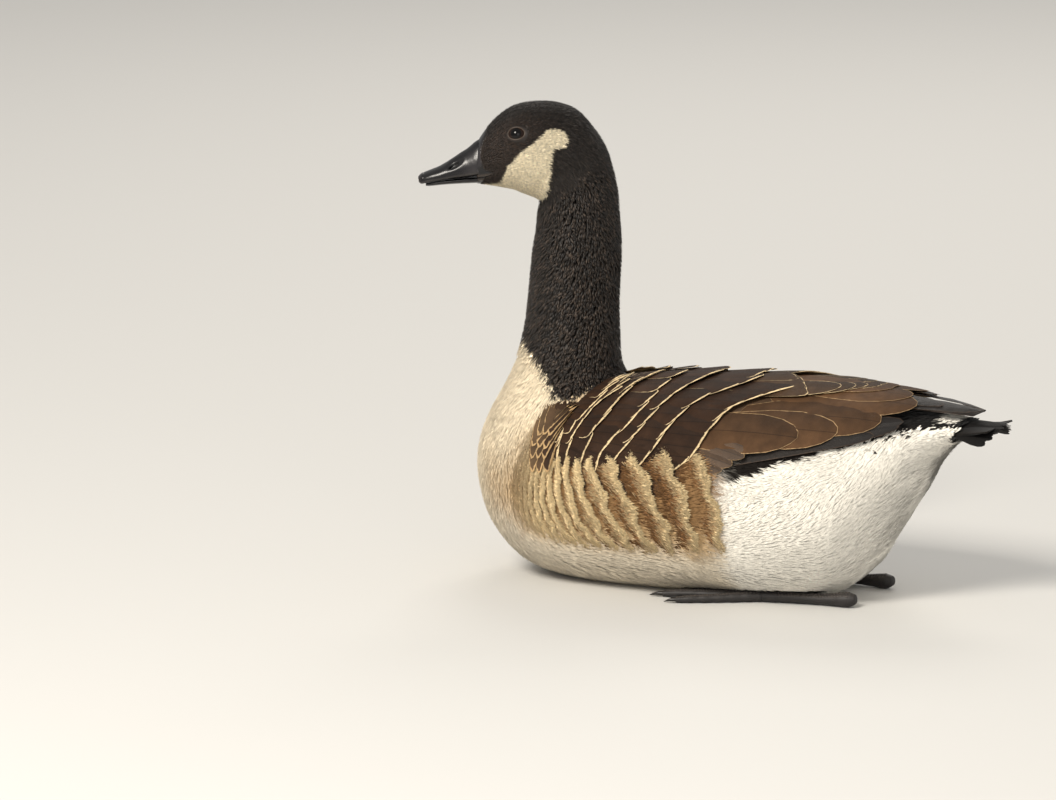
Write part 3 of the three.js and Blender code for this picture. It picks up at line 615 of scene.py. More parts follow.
def featherMaterial(name, settings, barbs, barbDepth, shaftTint, grain=0.12):
    # a feather's vane: keratin barbs that run out from the shaft to a paler, worn edge
    material, tree, shader = startMaterial(name, settings)
    tint = addNode(tree, "ShaderNodeAttribute", {"attribute_name": "tint"})
    edge = addNode(tree, "ShaderNodeAttribute", {"attribute_name": "edgeTint"})
    marks = addNode(tree, "ShaderNodeAttribute", {"attribute_name": "marks"})
    split = addNode(tree, "ShaderNodeSeparateXYZ", inputs={"Vector": marks.outputs["Vector"]})
    across, along, rim = split.outputs
    noise = addNoise(tree, vane["wornSize"], 3.0)[0]
    worn = addNode(tree, "ShaderNodeMath", {"operation": "MULTIPLY_ADD"},
                   {0: noise, 1: vane["worn"], 2: -vane["worn"] / 2})
    rimWorn = addNode(tree, "ShaderNodeMath", {"operation": "ADD"}, {0: rim, 1: worn.outputs[0]})
    inner = addNode(tree, "ShaderNodeMath", {"operation": "MULTIPLY"}, {0: edge.outputs["Alpha"], 1: 0.5})
    edgeShare = addNode(tree, "ShaderNodeMapRange", {"interpolation_type": "SMOOTHSTEP"}, {
        "Value": rimWorn.outputs[0], "From Min": inner.outputs[0], "From Max": edge.outputs["Alpha"],
        "To Min": 1.0, "To Max": 0.0})
    edged = addNode(tree, "ShaderNodeMix", {"data_type": "RGBA"}, {
        0: edgeShare.outputs[0], 6: tint.outputs["Color"], 7: edge.outputs["Color"]})
    sideways = addNode(tree, "ShaderNodeMath", {"operation": "ABSOLUTE"}, {0: across})
    slant = addNode(tree, "ShaderNodeMath", {"operation": "MULTIPLY_ADD"},
                    {0: sideways.outputs[0], 1: vane["slope"], 2: along})
    waver = addNode(tree, "ShaderNodeMath", {"operation": "MULTIPLY_ADD"},
                    {0: noise, 1: vane["waver"], 2: slant.outputs[0]})
    angle = addNode(tree, "ShaderNodeMath", {"operation": "MULTIPLY"},
                    {0: waver.outputs[0], 1: 2 * math.pi / barbs})
    barb = addNode(tree, "ShaderNodeMath", {"operation": "SINE"}, {0: angle.outputs[0]})
    shade = addNode(tree, "ShaderNodeMath", {"operation": "MULTIPLY_ADD"},
                    {0: barb.outputs[0], 1: barbDepth / 2, 2: 1.0})
    mottle = addNoise(tree, vane["mottleSize"], 2.0, grain)[1]
    shaft = addNode(tree, "ShaderNodeMapRange", {"interpolation_type": "SMOOTHSTEP"}, {
        "Value": sideways.outputs[0], "From Min": vane["shaft"][0], "From Max": vane["shaft"][1],
        "To Min": shaftTint, "To Max": 1.0})
    both = addNode(tree, "ShaderNodeMath", {"operation": "MULTIPLY"}, {0: shade.outputs[0], 1: mottle})
    lined = addNode(tree, "ShaderNodeMath", {"operation": "MULTIPLY"},
                    {0: both.outputs[0], 1: shaft.outputs[0]})
    joinShader(tree, shader, edged.outputs[2], lined.outputs[0], barb.outputs[0], 0.5, vane["relief"])
    return material


def plainMaterial(name, settings, size, grain, depth=0.0, detail=4.0):
    # its own tint with a fine mottle, and with pits where it has a depth
    material, tree, shader = startMaterial(name, settings)
    tint = addNode(tree, "ShaderNodeAttribute", {"attribute_name": "tint"})
    noise, mottle = addNoise(tree, size, detail, grain)
    joinShader(tree, shader, tint.outputs["Color"], mottle, noise, 0.6, depth)
    return material


# down and body feathers scatter light softly, so they look matt with a faint sheen
paleCoat = plainMaterial("soft body plumage", {"Roughness": 0.9, "Sheen Weight": 0.1, "Sheen Roughness": 0.5,
                                               "Specular IOR Level": 0.2}, 2.2, 0.1, detail=3.0)
# the stiff dark feathers of the neck catch small highlights at their tips
darkCoat = plainMaterial("black head and neck plumage", {"Roughness": 0.5, "Specular IOR Level": 0.45}, 2.2,
                         0.25, detail=3.0)
# the flank's loose feathers are as matt, with a stronger mottle from feather to feather
flankCoat = plainMaterial("loose flank plumage", {"Roughness": 0.85, "Sheen Weight": 0.08,
                                                  "Specular IOR Level": 0.2}, 2.2, 0.12, detail=3.0)
# flat vanes with hooked barbs are smoother, with a low gloss along them
wingVane = featherMaterial("brown wing vane", {"Roughness": 0.66, "Specular IOR Level": 0.18}, 1.5,
                           0.13, 0.6, 0.2)
flightVane = featherMaterial("blackish flight vane", {"Roughness": 0.5, "Specular IOR Level": 0.4},
                             1.6, 0.16, 0.6)
tailVane = featherMaterial("black tail vane", {"Roughness": 0.72, "Specular IOR Level": 0.25}, 1.8, 0.16, 0.6)
# the bill is polished keratin over bone, dark with a wet-looking gloss
horn = plainMaterial("black bill keratin", {"Roughness": 0.27, "Specular IOR Level": 0.4}, 1.6, 0.12, 0.00008)
# a film of tears makes the eye mirror-smooth
wetEye = plainMaterial("wet dark eye", {"Roughness": 0.03, "IOR": 1.34}, 3, 0.12)
# bare skin with fine creases, neither dull nor glossy
lidSkin = plainMaterial("bare eyelid skin", {"Roughness": 0.5}, 0.6, 0.12, 0.0001)
# webbed feet have leathery skin with small scutes
footSkin = plainMaterial("leathery black foot skin", {"Roughness": 0.55, "Specular IOR Level": 0.4}, 1.4,
                         0.12, 0.0003)
# claws are worn keratin with a dull polish
clawHorn = plainMaterial("worn claw keratin", {"Roughness": 0.4}, 1.0, 0.12, 0.0001)


# Skin: one closed form that fills the gaps between the tufts. depth is how deep it lies at places along the
# body, clear how far its underside keeps over the belly's cover and over the floor, and shade is painted
# shade: how much darker than the coat it is in the gaps between the tufts.
skinCut = {"rings": 330, "sides": 200, "shade": 0.7, "clear": (0.8, 1.5),
           "depth": ([-3, 0, 13, 16, 21, 25, 29, 30], [1.2, 2.6, 2.6, 3.6, 3.1, 1.4, 0.8, 0.4])}


def coatDepth(u):
    return np.interp(u, *skinCut["depth"])


def makeSkin():
    u, a = np.meshgrid(np.linspace(*bodyEnds, skinCut["rings"]), turns(skinCut["sides"]), indexing="ij")
    points = bodyAt(u, a) - skinFrame(bodySkin, u, a)[2] * coatDepth(u)[..., None]
    overLegs, overFloor = skinCut["clear"]
    points[..., 2] = np.maximum(points[..., 2], np.maximum(clearHeight(points) + overLegs, overFloor))
    # painted shade: the skin takes the coat's colour darkened, as the gaps between the tufts lie in shade
    grid = gridSet(points, bodyTint(u, a) * skinCut["shade"], inMap(bodyMap(u, a)))
    buildPiece("body_skin", [grid], paleCoat,
               ("torso", "neck", "head", "thigh_left", "thigh_right"))


# Coat of small tufts
leaf = {"stations": [(0, 0), (0.35, 1), (0.75, 0.75), (1, 0)], "columns": [-1, 0, 1]}
spike = {"stations": [(0, 0), (0.4, 1), (1, 0)], "columns": [-1, 0, 1]}
coatGrid = {"along": 180, "around": 240, "golden": 0.6180339887}
# In each row from and to are places along the body, and density is tufts per square mm. long, wide and rise
# go from place to place, sway and swirl are how far single tufts and whole flocks of them turn, clump is how
# far flocks stand up, and tip is a painted highlight: how much lighter the tips are. They grow between two
# angles and two distances from the neck's border, and wing is the share of them that a folded wing replaces.
tufts = {"form": spike, "material": paleCoat, "slot": "body_feathers", "soft": 0.68, "clump": 0.35,
         "angles": (-1, 181), "border": (-99, 99), "wing": 0}
darkTufts = dict(tufts, material=darkCoat, slot="black_feathers")
coatRows = {
    "head_coat": {**darkTufts, "from": 21.8, "to": 29.9, "density": 1.5, "soft": 0.3, "sway": 0.14,
                  "swirl": 0.12, "long": ([22, 25, 28, 30], [7.5, 6.5, 4.2, 3.0]),
                  "wide": ([22, 27, 30], [1.3, 1.0, 0.7]), "rise": ([22, 30], [0.9, 0.6]), "tip": 5},
    "neck_coat": {**darkTufts, "from": 10.8, "to": 22.2, "density": 0.28, "soft": 0.1, "sway": 0.3,
                  "swirl": 0.25, "long": ([11, 13, 15, 22], [8, 11, 10, 8]), "wide": ([11, 22], [3.0, 2.1]),
                  "form": leaf, "rise": ([11, 15, 22], [0.0, 0.5, 0.5]), "tip": 11, "clump": 1.3,
                  "border": (-0.35, 99)},
    "breast_coat": {**tufts, "from": 8.6, "to": 15.1, "density": 0.42, "sway": 0.12, "swirl": 0.25,
                    "long": ([9, 15], [17, 13]), "wide": ([9, 15], [2.4, 1.7]), "rise": ([9, 15], [0.9, 0.9]),
                    "tip": 1.08, "angles": (58, 181), "border": (-99, 0.12), "wing": 0.95},
    "belly_coat": {**tufts, "from": 4.6, "to": 9.0, "density": 0.2, "sway": 0.14, "swirl": 0.3,
                   "long": ([4, 9], [19, 18]), "wide": ([4, 9], [3.2, 3.2]), "rise": ([4, 9], [0.9, 0.9]),
                   "tip": 1.06, "angles": (84, 181)},
    "rear_coat": {**tufts, "from": 0.1, "to": 6.4, "density": 0.36, "sway": 0.1, "swirl": 0.55,
                  "long": ([0, 1.5, 6], [8, 15, 20]), "wide": ([0, 6], [3.0, 3.2]),
                  "rise": ([0, 6], [0.5, 0.5]), "tip": 1.05, "angles": (57, 181)},
    "rump_coat": {**tufts, "from": 0.1, "to": 6.2, "density": 0.14, "sway": 0.2, "swirl": 0.2,
                  "long": ([0, 1.5, 6], [8, 14, 16]), "wide": ([0, 6], [5, 4]), "rise": ([0, 6], [1.0, 1.0]),
                  "form": leaf, "tip": 1.2, "angles": (-1, 61), "wing": 1},
    "shoulder_coat": {**tufts, "from": 6.2, "to": 11.2, "density": 0.1, "sway": 0.15, "swirl": 0.2,
                      "long": ([6, 11], [15, 15]), "wide": ([6, 11], [5, 5]), "rise": ([6, 11], [0.8, 0.8]),
                      "form": leaf, "tip": 1.2, "angles": (-1, 60), "border": (-99, 0.1), "wing": 1},
}
# what a wing hides of the body: the places where it starts and ends, and the shares of its depth
wingCover = {"front": (0.7, 0.9), "rear": (7.4, 8.2), "depth": (0.04, 0.86)}
# how far forward the face's feathers reach round the bill, as angles from its ridge and places along the
# body, and how far they keep from the eye, with the mm that a place and a degree take there
faceEdge = {"angles": [0, 36.8, 50.8, 77.4, 110, 122, 135, 180],
            "places": [29.2, 29.55, 29.95, 29.95, 29.3, 28.3, 29.3, 29.95]}
eyeClear = {"long": 8.2, "high": 6.6, "place": 18.5, "degree": 0.55}
# how much single tufts vary, and the sizes of the patterns by which flocks of them turn and stand up.
# rootShade is painted shade at each tuft's root, and whiteTip the painted highlight on white tufts' tips
tuftVary = {"size": (0.75, 1.2), "tint": (0.92, 1.08), "rise": (0.6, 1.1), "roll": 0.1, "crown": 0.12,
            "swirlSize": 30, "smallSwirl": 0.5, "smallSwirlSize": 11, "clumpSize": 16, "rootSink": 0.3,
            "rootShade": 0.82, "whiteFrom": 0.9, "whiteTip": 1.02}
# broad soft folds where the white feathers of the rear overlap, with painted shade in their hollows
rearFolds = {"size": 32, "rise": 2.6, "shade": (0.95, 0.07), "stretch": 0.45, "fall": 0.5}
# fine ridges of the crown's feathers
crownRidges = {"rise": 0.45, "often": 40, "low": (45, 62)}


def spread(row):  # even places for a row's tufts over the body
    uEdges = np.linspace(row["from"], row["to"], coatGrid["along"] + 1)
    aEdges = np.linspace(-np.pi, np.pi, coatGrid["around"] + 1)
    u, a = np.meshgrid((uEdges[1:] + uEdges[:-1]) / 2, (aEdges[1:] + aEdges[:-1]) / 2, indexing="ij")
    along, around, _ = skinFrame(bodySkin, u, a)
    area = np.linalg.norm(np.cross(along, around), axis=-1)
    area = area * (uEdges[1] - uEdges[0]) * (aEdges[1] - aEdges[0])
    weight = area * (row["density"] * coatArea(row, u, a))
    rows = weight.sum(1)
    n = int(rows.sum())
    i = np.arange(n)
    outU = np.interp((i + 0.5) / n, np.concatenate([[0], np.cumsum(rows)]) / rows.sum(), uEdges)
    share = (0.5 + i * coatGrid["golden"]) % 1
    outA = np.zeros(n)
    cell = np.clip(np.searchsorted(uEdges, outU) - 1, 0, len(rows) - 1)
    for k in np.unique(cell):
        mine = cell == k
        steps = np.concatenate([[0], np.cumsum(weight[k])])
        outA[mine] = np.interp(share[mine], steps / max(steps[-1], 1e-9), aEdges)
    return outU, outA


def underWing(u, degrees):  # 1 where a folded wing hides the body
    uWing = 10 - u
    edges = throughRows(wingEdges, np.clip(uWing, 0, 10))
    share = (degrees - edges[..., 0]) / (edges[..., 1] - edges[..., 0])
    high, low = wingCover["depth"]
    deep = (share > high) & (share < low)
    return after(uWing, wingCover["front"]) * before(uWing, wingCover["rear"]) * deep


def featherEdge(degrees):
    return np.interp(degrees, faceEdge["angles"], faceEdge["places"])


def coatArea(row, u, a):  # 1 where a row's tufts grow
    degrees = foldAngle(a)
    fromBorder = u - borderPlace(degrees)
    area = (degrees > row["angles"][0]) & (degrees <= row["angles"][1])
    area = area & (fromBorder > row["border"][0]) & (fromBorder < row["border"][1])
    x = (u - eye["u"]) * eyeClear["place"] / eyeClear["long"]
    y = (degrees - eye["angle"]) * eyeClear["degree"] / eyeClear["high"]
    area = area & (np.hypot(x, y) > 1) & (u < featherEdge(degrees))
    return area * (1 - row["wing"] * underWing(u, degrees))


def layCoat(name, seed):
    row = coatRows[name]
    u, a = spread(row)
    draw = np.random.default_rng(seed)
    n = len(u)
    straight = straightBody(u, a)
    vary = tuftVary
    lie = draw.normal(0, row["sway"], n) + row["swirl"] * cellNoise(straight, vary["swirlSize"], seed)
    smallSwirl = cellNoise(straight, vary["smallSwirlSize"], seed + 1)
    lie = lie + vary["smallSwirl"] * row["swirl"] * smallSwirl
    size = draw.uniform(*vary["size"], n)
    tints = bodyTint(u, a) * draw.uniform(*vary["tint"], n)[:, None]
    # painted highlight on the tufts' tips
    tipHighlight = 1 + (row["tip"] - 1) * draw.uniform(0, 1, n) ** 2.5  # few tips are very light
    clump = 0.5 + 0.5 * cellNoise(straight, vary["clumpSize"], seed + 2)
    rise = np.interp(u, *row["rise"]) * draw.uniform(*vary["rise"], n) + row["clump"] * clump
    if name == "rear_coat":
        slope = np.stack([0 * u, rearFolds["fall"] * straight[..., 2], 0 * u], -1)
        flow = straight * [1, rearFolds["stretch"], 1] + slope
        fold = (1 - abs(cellNoise(flow, rearFolds["size"], seed + 5))) ** 2
        rise = rise + rearFolds["rise"] * fold
        # painted shade: darker in the folds' hollows and lighter on their crests
        tints = tints * (rearFolds["shade"][0] + rearFolds["shade"][1] * fold)[:, None]
    if name == "head_coat":
        ridges = np.sin(np.radians(foldAngle(a)) * crownRidges["often"])
        rise = rise + crownRidges["rise"] * ridges * before(foldAngle(a), crownRidges["low"])
    tipHighlight = np.where(dot(tints, np.ones(3)) > vary["whiteFrom"], vary["whiteTip"], tipHighlight)
    shares = np.array([s for s, share in row["form"]["stations"] for _ in range(1 if share == 0 else 3)])
    # painted shade at each tuft's root and painted highlight towards its tip
    fade = vary["rootShade"] + (1 - vary["rootShade"]) * shares
    fade = fade * (1 + (tipHighlight[:, None] - 1) * shares ** 1.5)
    wide = np.interp(u, *row["wide"])
    form = dict(row["form"], rise=rise, rootRise=-coatDepth(u) - vary["rootSink"],
                crown=float(np.mean(vary["crown"] * wide)), roll=draw.normal(0, vary["roll"], n))
    made = layFeathers(bodySkin, u, a, lie, np.interp(u, *row["long"]) * size, wide * size, form,
                       tints[:, None] * fade[..., None])
    buildPiece(name, [made], row["material"], soft=row["soft"])


def makeCoat():
    for seed, name in enumerate(coatRows):
        layCoat(name, 200 + 10 * seed)


# Wing feathers
covertForm = {"stations": [(0, 0), (0.06, 0.55), (0.3, 0.84), (0.6, 0.97), (0.82, 1), (0.92, 0.93),
                           (0.975, 0.72), (1, 0)],
              "columns": [-1, -0.85, -0.5, 0, 0.5, 0.85, 1], "hug": True, "sideEdge": 5, "sideFade": 70}
tertialForm = {"stations": [(0, 0), (0.05, 0.5), (0.25, 0.8), (0.5, 0.97), (0.7, 0.98), (0.84, 0.82),
                            (0.93, 0.58), (0.98, 0.3), (1, 0)],
               "columns": [-1, -0.8, -0.4, 0, 0.4, 0.8, 1], "hug": True, "sideEdge": 1.3, "sideFade": 1}
quillForm = {"stations": [(0, 0), (0.05, 0.7), (0.4, 1), (0.75, 0.9), (0.9, 0.66), (0.97, 0.38), (1, 0)],
             "columns": [-1, -0.7, 0, 0.7, 1], "hug": True}
wingColours = {"covert": "#301f13", "covertEdge": "#dfc79c", "tertial": "#4f3824", "tertialEdge": "#a98c66",
               "secondary": "#4d3a29", "secondaryEdge": "#8f744f", "primary": "#17110d",
               "primaryEdge": "#3a2c20",
               "scapular": "#3e2d1e", "scapularEdge": "#c8b088", "front": "#38271a", "frontEdge": "#b6976c"}
wingTone = {name: linear(value) for name, value in wingColours.items()}
# In each row tips is the line of its tips, as places along the wing and shares from its top edge to its lower
# edge, and stray is how far a tip may be off it. drop is how far a feather points down towards its tip.
tertials = {"tint": "tertial", "edgeWide": 1.0, "form": tertialForm, "stray": (0.02, 0.004)}
flight = {**tertials, "edgeWide": 0.8, "group": "flight"}
coverts = {"drop": 0.1, "rise": 0.9, "rootRise": -3.6, "tint": "covert", "edgeWide": 2.0, "form": covertForm,
           "stray": (0.02, 0.004)}
scapulars = {**coverts, "drop": 0, "tint": "scapular", "count": 4, "wide": 30}
wingTiers = [
    # primaries
    {**flight, "tips": [[7.5, 1.04], [8.3, 0.9], [9.0, 0.72], [9.5, 0.52], [9.8, 0.34], [9.7, 0.2]],
     "count": 8, "long": 150, "wide": 19, "drop": -0.02, "rise": -0.4, "rootRise": -6.5, "tint": "primary",
     "form": quillForm},
    # secondaries
    {**flight, "tips": [[4.2, 1.12], [4.7, 1.06], [5.2, 0.97], [5.9, 0.96], [6.3, 1.0]], "count": 11,
     "long": 84, "wide": 18, "drop": 0.26, "rise": -1.4, "rootRise": -4.5, "tint": "secondary"},
    # lower and upper tertials
    {**tertials, "tips": [[5.7, 0.97], [6.6, 1.0], [7.55, 0.88]], "count": 3, "long": 142, "wide": 42,
     "drop": 0.2, "rise": -0.3, "rootRise": -4},
    {**tertials, "tips": [[8.4, 0.5], [8.15, 0.24], [7.3, 0.08]], "count": 3, "long": 140, "wide": 44,
     "drop": 0.08, "rise": 0.5, "rootRise": -3.8},
    # scapulars behind and greater coverts
    {**scapulars, "tips": [[6.9, 0.05], [6.5, 0.16], [6.15, 0.24]], "long": 74, "rise": 1.0, "edgeWide": 1.3,
     "form": tertialForm},
    {**coverts, "tips": [[3.75, 0.98], [3.95, 0.9], [4.1, 0.77], [4.3, 0.6], [4.6, 0.47], [5.05, 0.35]],
     "count": 9, "long": 66, "wide": 33, "edgeWide": 2.1},
    # scapulars further forward and the rows of smaller coverts, up to the wing's front
    {**scapulars, "tips": [[5.5, 0.28], [5.3, 0.16], [5.1, 0.04]], "long": 62, "rise": 1.1, "edgeWide": 1.5},
    {**coverts, "tips": [[3.05, 0.94], [3.2, 0.86], [3.35, 0.74], [3.55, 0.58], [3.9, 0.38], [4.4, 0.2],
                         [4.5, 0.04]],
     "count": 9, "long": 56, "wide": 30},
    {**coverts, "tips": [[2.5, 0.94], [2.65, 0.85], [2.95, 0.69], [3.2, 0.46], [3.45, 0.25], [3.7, 0.04]],
     "count": 9, "long": 50, "wide": 28},
    {**coverts, "tips": [[2.15, 0.94], [2.3, 0.83], [2.55, 0.69], [2.75, 0.52], [2.95, 0.34], [3.1, 0.04]],
     "count": 9, "long": 44, "wide": 26},
    {**coverts, "tips": [[1.85, 0.95], [1.92, 0.8], [2.0, 0.61], [2.15, 0.46], [2.32, 0.24], [2.5, 0.02]],
     "count": 9, "long": 38, "wide": 24},
    {**coverts, "tips": [[1.5, 0.93], [1.48, 0.8], [1.42, 0.6], [1.5, 0.42], [1.8, 0.22], [2.0, 0.02]],
     "count": 10, "long": 32, "wide": 21, "edgeWide": 1.8},
    {**coverts, "tips": [[1.15, 0.92], [1.1, 0.8], [0.75, 0.52], [1.02, 0.3], [1.5, 0.02]], "count": 10,
     "long": 26, "wide": 18, "rise": 1.0, "rootRise": -2.6, "edgeWide": 1.7},
    {**coverts, "tips": [[0.8, 0.9], [0.68, 0.75], [0.36, 0.5], [0.55, 0.25], [1.0, 0.0]], "count": 10,
     "long": 22, "wide": 16, "rise": 1.3, "rootRise": -2.0, "edgeWide": 1.6},
]
# rows of narrow feathers where the breast runs up over the wing's front: tips are places and degrees on the
# body, and fade is how far they take the breast's tan
shoulder = {**coverts, "count": 4, "wide": 27, "drop": 0.01, "rootRise": -1.5, "tint": "front",
            "stray": (0.01, 0.002)}
shoulderRows = [
    {**shoulder, "tips": [[9.15, 68], [9.5, 62], [9.8, 55]], "long": 25, "rise": 5.6, "edgeWide": 1.2},
    {**shoulder, "tips": [[9.4, 71], [9.85, 65], [10.15, 57]], "long": 23, "rise": 4.5, "edgeWide": 1.05,
     "fade": 0.05},
    {**shoulder, "tips": [[9.68, 74], [10.15, 68], [10.5, 60]], "long": 21, "rise": 3.4, "edgeWide": 0.9,
     "fade": 0.1},
]
# what these feathers share: how far they lie askew, how their shades and sizes vary, how a row rises from its
# first to its last, their relief, how far their tips are cut aslant, and how they darken down, as painted
# shade on the side that the next feather overlaps, and towards the tip
tierLook = {"askew": 0.012, "shade": (0.85, 1.15), "long": (0.97, 1.03), "wide": (0.95, 1.05), "rise": 0.4,
            "crown": 0.7, "roll": -0.35, "wave": 0.25, "waveSize": 8, "skew": 0.3, "skewMost": 1.5,
            "down": 0.36, "tip": 0.2, "tipFrom": (0.5, 0.9), "firstRoot": -0.42}
# the dark bed that the feathers lie on, which sinks deeper at its rear; shade is painted shade under them
wingBed = {"from": 0.3, "to": 7.0, "low": 0.96, "under": 4.2, "thick": 3, "deeper": 5, "deeperFrom": (5, 7),
           "shade": 0.8, "along": 60, "down": 30}


def wingBase(side):
    u, r = np.meshgrid(np.linspace(wingBed["from"], wingBed["to"], wingBed["along"]),
                       np.linspace(0, wingBed["low"], wingBed["down"]), indexing="ij")
    skin = wingSkin(side)
    normal = skinFrame(skin, u, r)[2]
    depth = wingBed["under"] + wingBed["deeper"] * after(u, wingBed["deeperFrom"])[..., None]
    outer = skin["at"](u, r) - normal * depth
    points = np.stack([outer, outer - normal * wingBed["thick"]])
    # painted shade: the bed takes the secondaries' colour darkened, since it lies in their shade
    tints = np.broadcast_to(wingTone["secondary"] * wingBed["shade"], points.shape)
    uv = np.stack([pair(inMap(r), u / 10)] * 2)
    return plainSet(points, tints, uv, sheetFaces(*u.shape), side < 0, rim=9.0)


def walkEnd(skin, u, a, lie, long):  # where a feather that starts at u, a ends
    steps = 12
    along, around, normal, rear, across = skinWays(skin, u, a)
    way = rear * np.cos(lie)[:, None] + across * np.sin(lie)[:, None]
    for _ in range(steps):
        du, da = slide(along, around, way * long / steps)
        u, a = u + du, a + da
        along, around, normal = skinFrame(skin, u, a)
        way = laidOn(way, normal)
    return u, a


def rowSkew(skin, tips, way, normal):  # cuts the tips along the line that the whole row makes
    row = np.gradient(skin["at"](tips[:, 0], tips[:, 1]), axis=0)
    sideways = dot(row, np.cross(normal, way))
    sideways = np.where(abs(sideways) < 1e-3, 1e-3, sideways)
    return np.clip(dot(row, way) / sideways, -tierLook["skewMost"], tierLook["skewMost"])


def tierFeathers(side, skin, tier, draw, first, total):
    count = tier["count"]
    line = np.array(tier["tips"], float)
    tips = throughRows(line, np.linspace(0, len(line) - 1, count))
    tips = tips + draw.normal(0, 1, tips.shape) * tier["stray"]
    # a first guess of the roots, which walks from root to tip then correct
    back = skinFrame(skin, tips[:, 0] - 1, tips[:, 1])[0]
    rootU = tips[:, 0] - skin["rear"] * tier["long"] / np.linalg.norm(back, axis=1)
    rootR = tips[:, 1] - tier["drop"]
    along, around, normal, rear, across = skinWays(skin, rootU, rootR)
    span = along * (tips[:, 0] - rootU)[:, None] + around * (tips[:, 1] - rootR)[:, None]
    lie = np.arctan2(dot(span, across), dot(span, rear)) + draw.normal(0, tierLook["askew"], count)
    for _ in range(4):
        endU, endR = walkEnd(skin, rootU, rootR, lie, tier["long"])
        rootU, rootR = rootU + tips[:, 0] - endU, rootR + tips[:, 1] - endR
        if skin["rear"] > 0:
            rootU = np.maximum(rootU, tierLook["firstRoot"])
    skew = rowSkew(skin, tips, unit(span), normal) if tier["form"] is covertForm else tierLook["skew"] * side
    shade = draw.uniform(*tierLook["shade"], count)[:, None]
    pale = wingTone[tier["tint"] + "Edge"] * shade ** 0.5
    edge = np.concatenate([pale, np.full((count, 1), tier["edgeWide"])], 1)
    form = dict(tier["form"], rise=tier["rise"] + np.linspace(0, tierLook["rise"], count), skew=skew,
                rootRise=tier["rootRise"], crown=tierLook["crown"], roll=tierLook["roll"] * side,
                wave=tierLook["wave"], waveSize=tierLook["waveSize"])
    long = tier["long"] * draw.uniform(*tierLook["long"], count)
    wide = tier["wide"] * draw.uniform(*tierLook["wide"], count)
    places = [(t * share, s) for s, share in form["stations"]
              for t in ([0.0] if share == 0 else form["columns"])]
    t, s = np.array(places).T
    # painted shade across each vane, darker on the side that its neighbour overlaps, and darker towards the
    # tip
    paintedShadeAndTipDark = 1 - tierLook["down"] * side * t - tierLook["tip"] * after(s, tierLook["tipFrom"])
    base = blendTo(wingTone[tier["tint"]], tone["tan"], tier.get("fade", 0))
    tints = (base * shade)[:, None] * paintedShadeAndTipDark[:, None]
    return layFeathers(skin, rootU, rootR, lie, long, wide, form, tints, edge,
                       patchCells(count, first, total))


def makeWing(side, name):
    skin = wingSkin(side)
    draw = np.random.default_rng(40 + side)
    total = sum(tier["count"] for tier in wingTiers + shoulderRows)
    groups = {"flight": [], "covert": []}
    first = 0
    for tier in wingTiers:
        groups[tier.get("group", "covert")].append(tierFeathers(side, skin, tier, draw, first, total))
        first += tier["count"]
    for row in shoulderRows:
        tips = np.array(row["tips"], float) * [1, side * math.pi / 180]
        tier = {**row, "tips": tips, "drop": -side * row["drop"]}
        groups["covert"].append(tierFeathers(side, bodySkin, tier, draw, first, total))
        first += tier["count"]
    buildPiece("wing_bed_" + name, [wingBase(side)], flightVane, ("wing_" + name,))
    buildPiece("flight_feathers_" + name, groups["flight"], flightVane, sharp=50)
    buildPiece("wing_coverts_" + name, groups["covert"], wingVane, sharp=50)


# Flank: columns of loose feathers like folds, each with a brown middle and a pale hairy edge at its rear.
# places are the columns' rear edges, top and low where they start and end in degrees, lean how far they lean
# forwards, and ridge how high they stand from the rear edge to the front. Sizes go from place to place along
# the body.
flank = {"places": [5.95, 6.4, 6.82, 7.2, 7.55, 7.87, 8.16, 8.42, 8.66, 8.9, 9.13, 9.36, 9.59, 9.82,
                    10.05, 10.28, 10.5],
         "top": ([5.9, 6.4, 7.3, 9.1, 10.4, 11.4], [56, 56, 62, 68, 76, 84]),
         "low": ([5.9, 7, 9, 11.4], [106, 110, 112, 112]),
         "lean": ([6.2, 7, 8.6, 9.8, 10.5], [0.5, 0.85, 1.3, 1.6, 1.7]), "bulge": 0.2, "bulgeRear": (6.2, 9),
         "scallop": 0.05, "count": ([8.5, 8.8, 9.2, 10.4], [3130, 2370, 2300, 700]), "past": (1, 1.5),
         "long": (9, 15), "longShare": ([6, 11], [1.15, 0.8]), "over": 4, "overVary": (0.3, 1.25),
         "overLeast": 2, "wide": (1.1, 1.9), "lie": (0.12, 0.35), "lieRear": (6.4, 8), "lieStray": 0.2,
         "ridge": ([0, 0.25, 0.8, 1], [3.4, 3.6, 1.0, 0.4]), "ridgeShare": ([6, 9, 11], [1.15, 0.75, 0.1]),
         "ridgeVary": (-0.3, 0.7), "ridgeLeast": 0.35, "topFade": (-1, 3), "lowFade": (-6, 1), "topRise": 0.8,
         "topRiseTo": (-1, 6), "root": 3.4, "rootLeast": -2.8, "crown": 0.22, "roll": 0.12}
# dark lies at shares of a column's width from its rear edge, and pale at mm from it, wider up to a rear
# place. From front the colours turn to the tan ones, and from coat to the coat's own.
flankLook = {"dark": "#4a321c", "mid": "#86603a", "pale": "#efd6a6", "frontPale": "#ecd5aa",
             "front": (8.6, 10.8), "frontTan": 0.35, "darkFrom": (0.42, 0.8), "darkDepth": 0.8,
             "paleTo": (0.6, 2.9), "paleWider": 0.9, "paleRear": 8, "ragged": 0.8, "vary": (0.82, 1.14),
             "coat": (9.0, 10.5), "coatDepth": 0.85}


def flankLine(c, degrees, side):  # the rear edge of column c, as a place along the body
    base = np.interp(c, np.arange(len(flank["places"])), flank["places"])
    top, low = np.interp(base, *flank["top"]), np.interp(base, *flank["low"])
    x = (degrees - top) / (low - top)
    curve = -flank["bulge"] * before(base, flank["bulgeRear"]) * (1 - (2 * x - 1.05) ** 2)
    wave = np.sin(x * 15 + c * 2.6 + side) + 0.6 * np.sin(x * 31 + c * 4.1)
    return base + curve + np.interp(base, *flank["lean"]) * (0.5 - x) + flank["scallop"] * wave


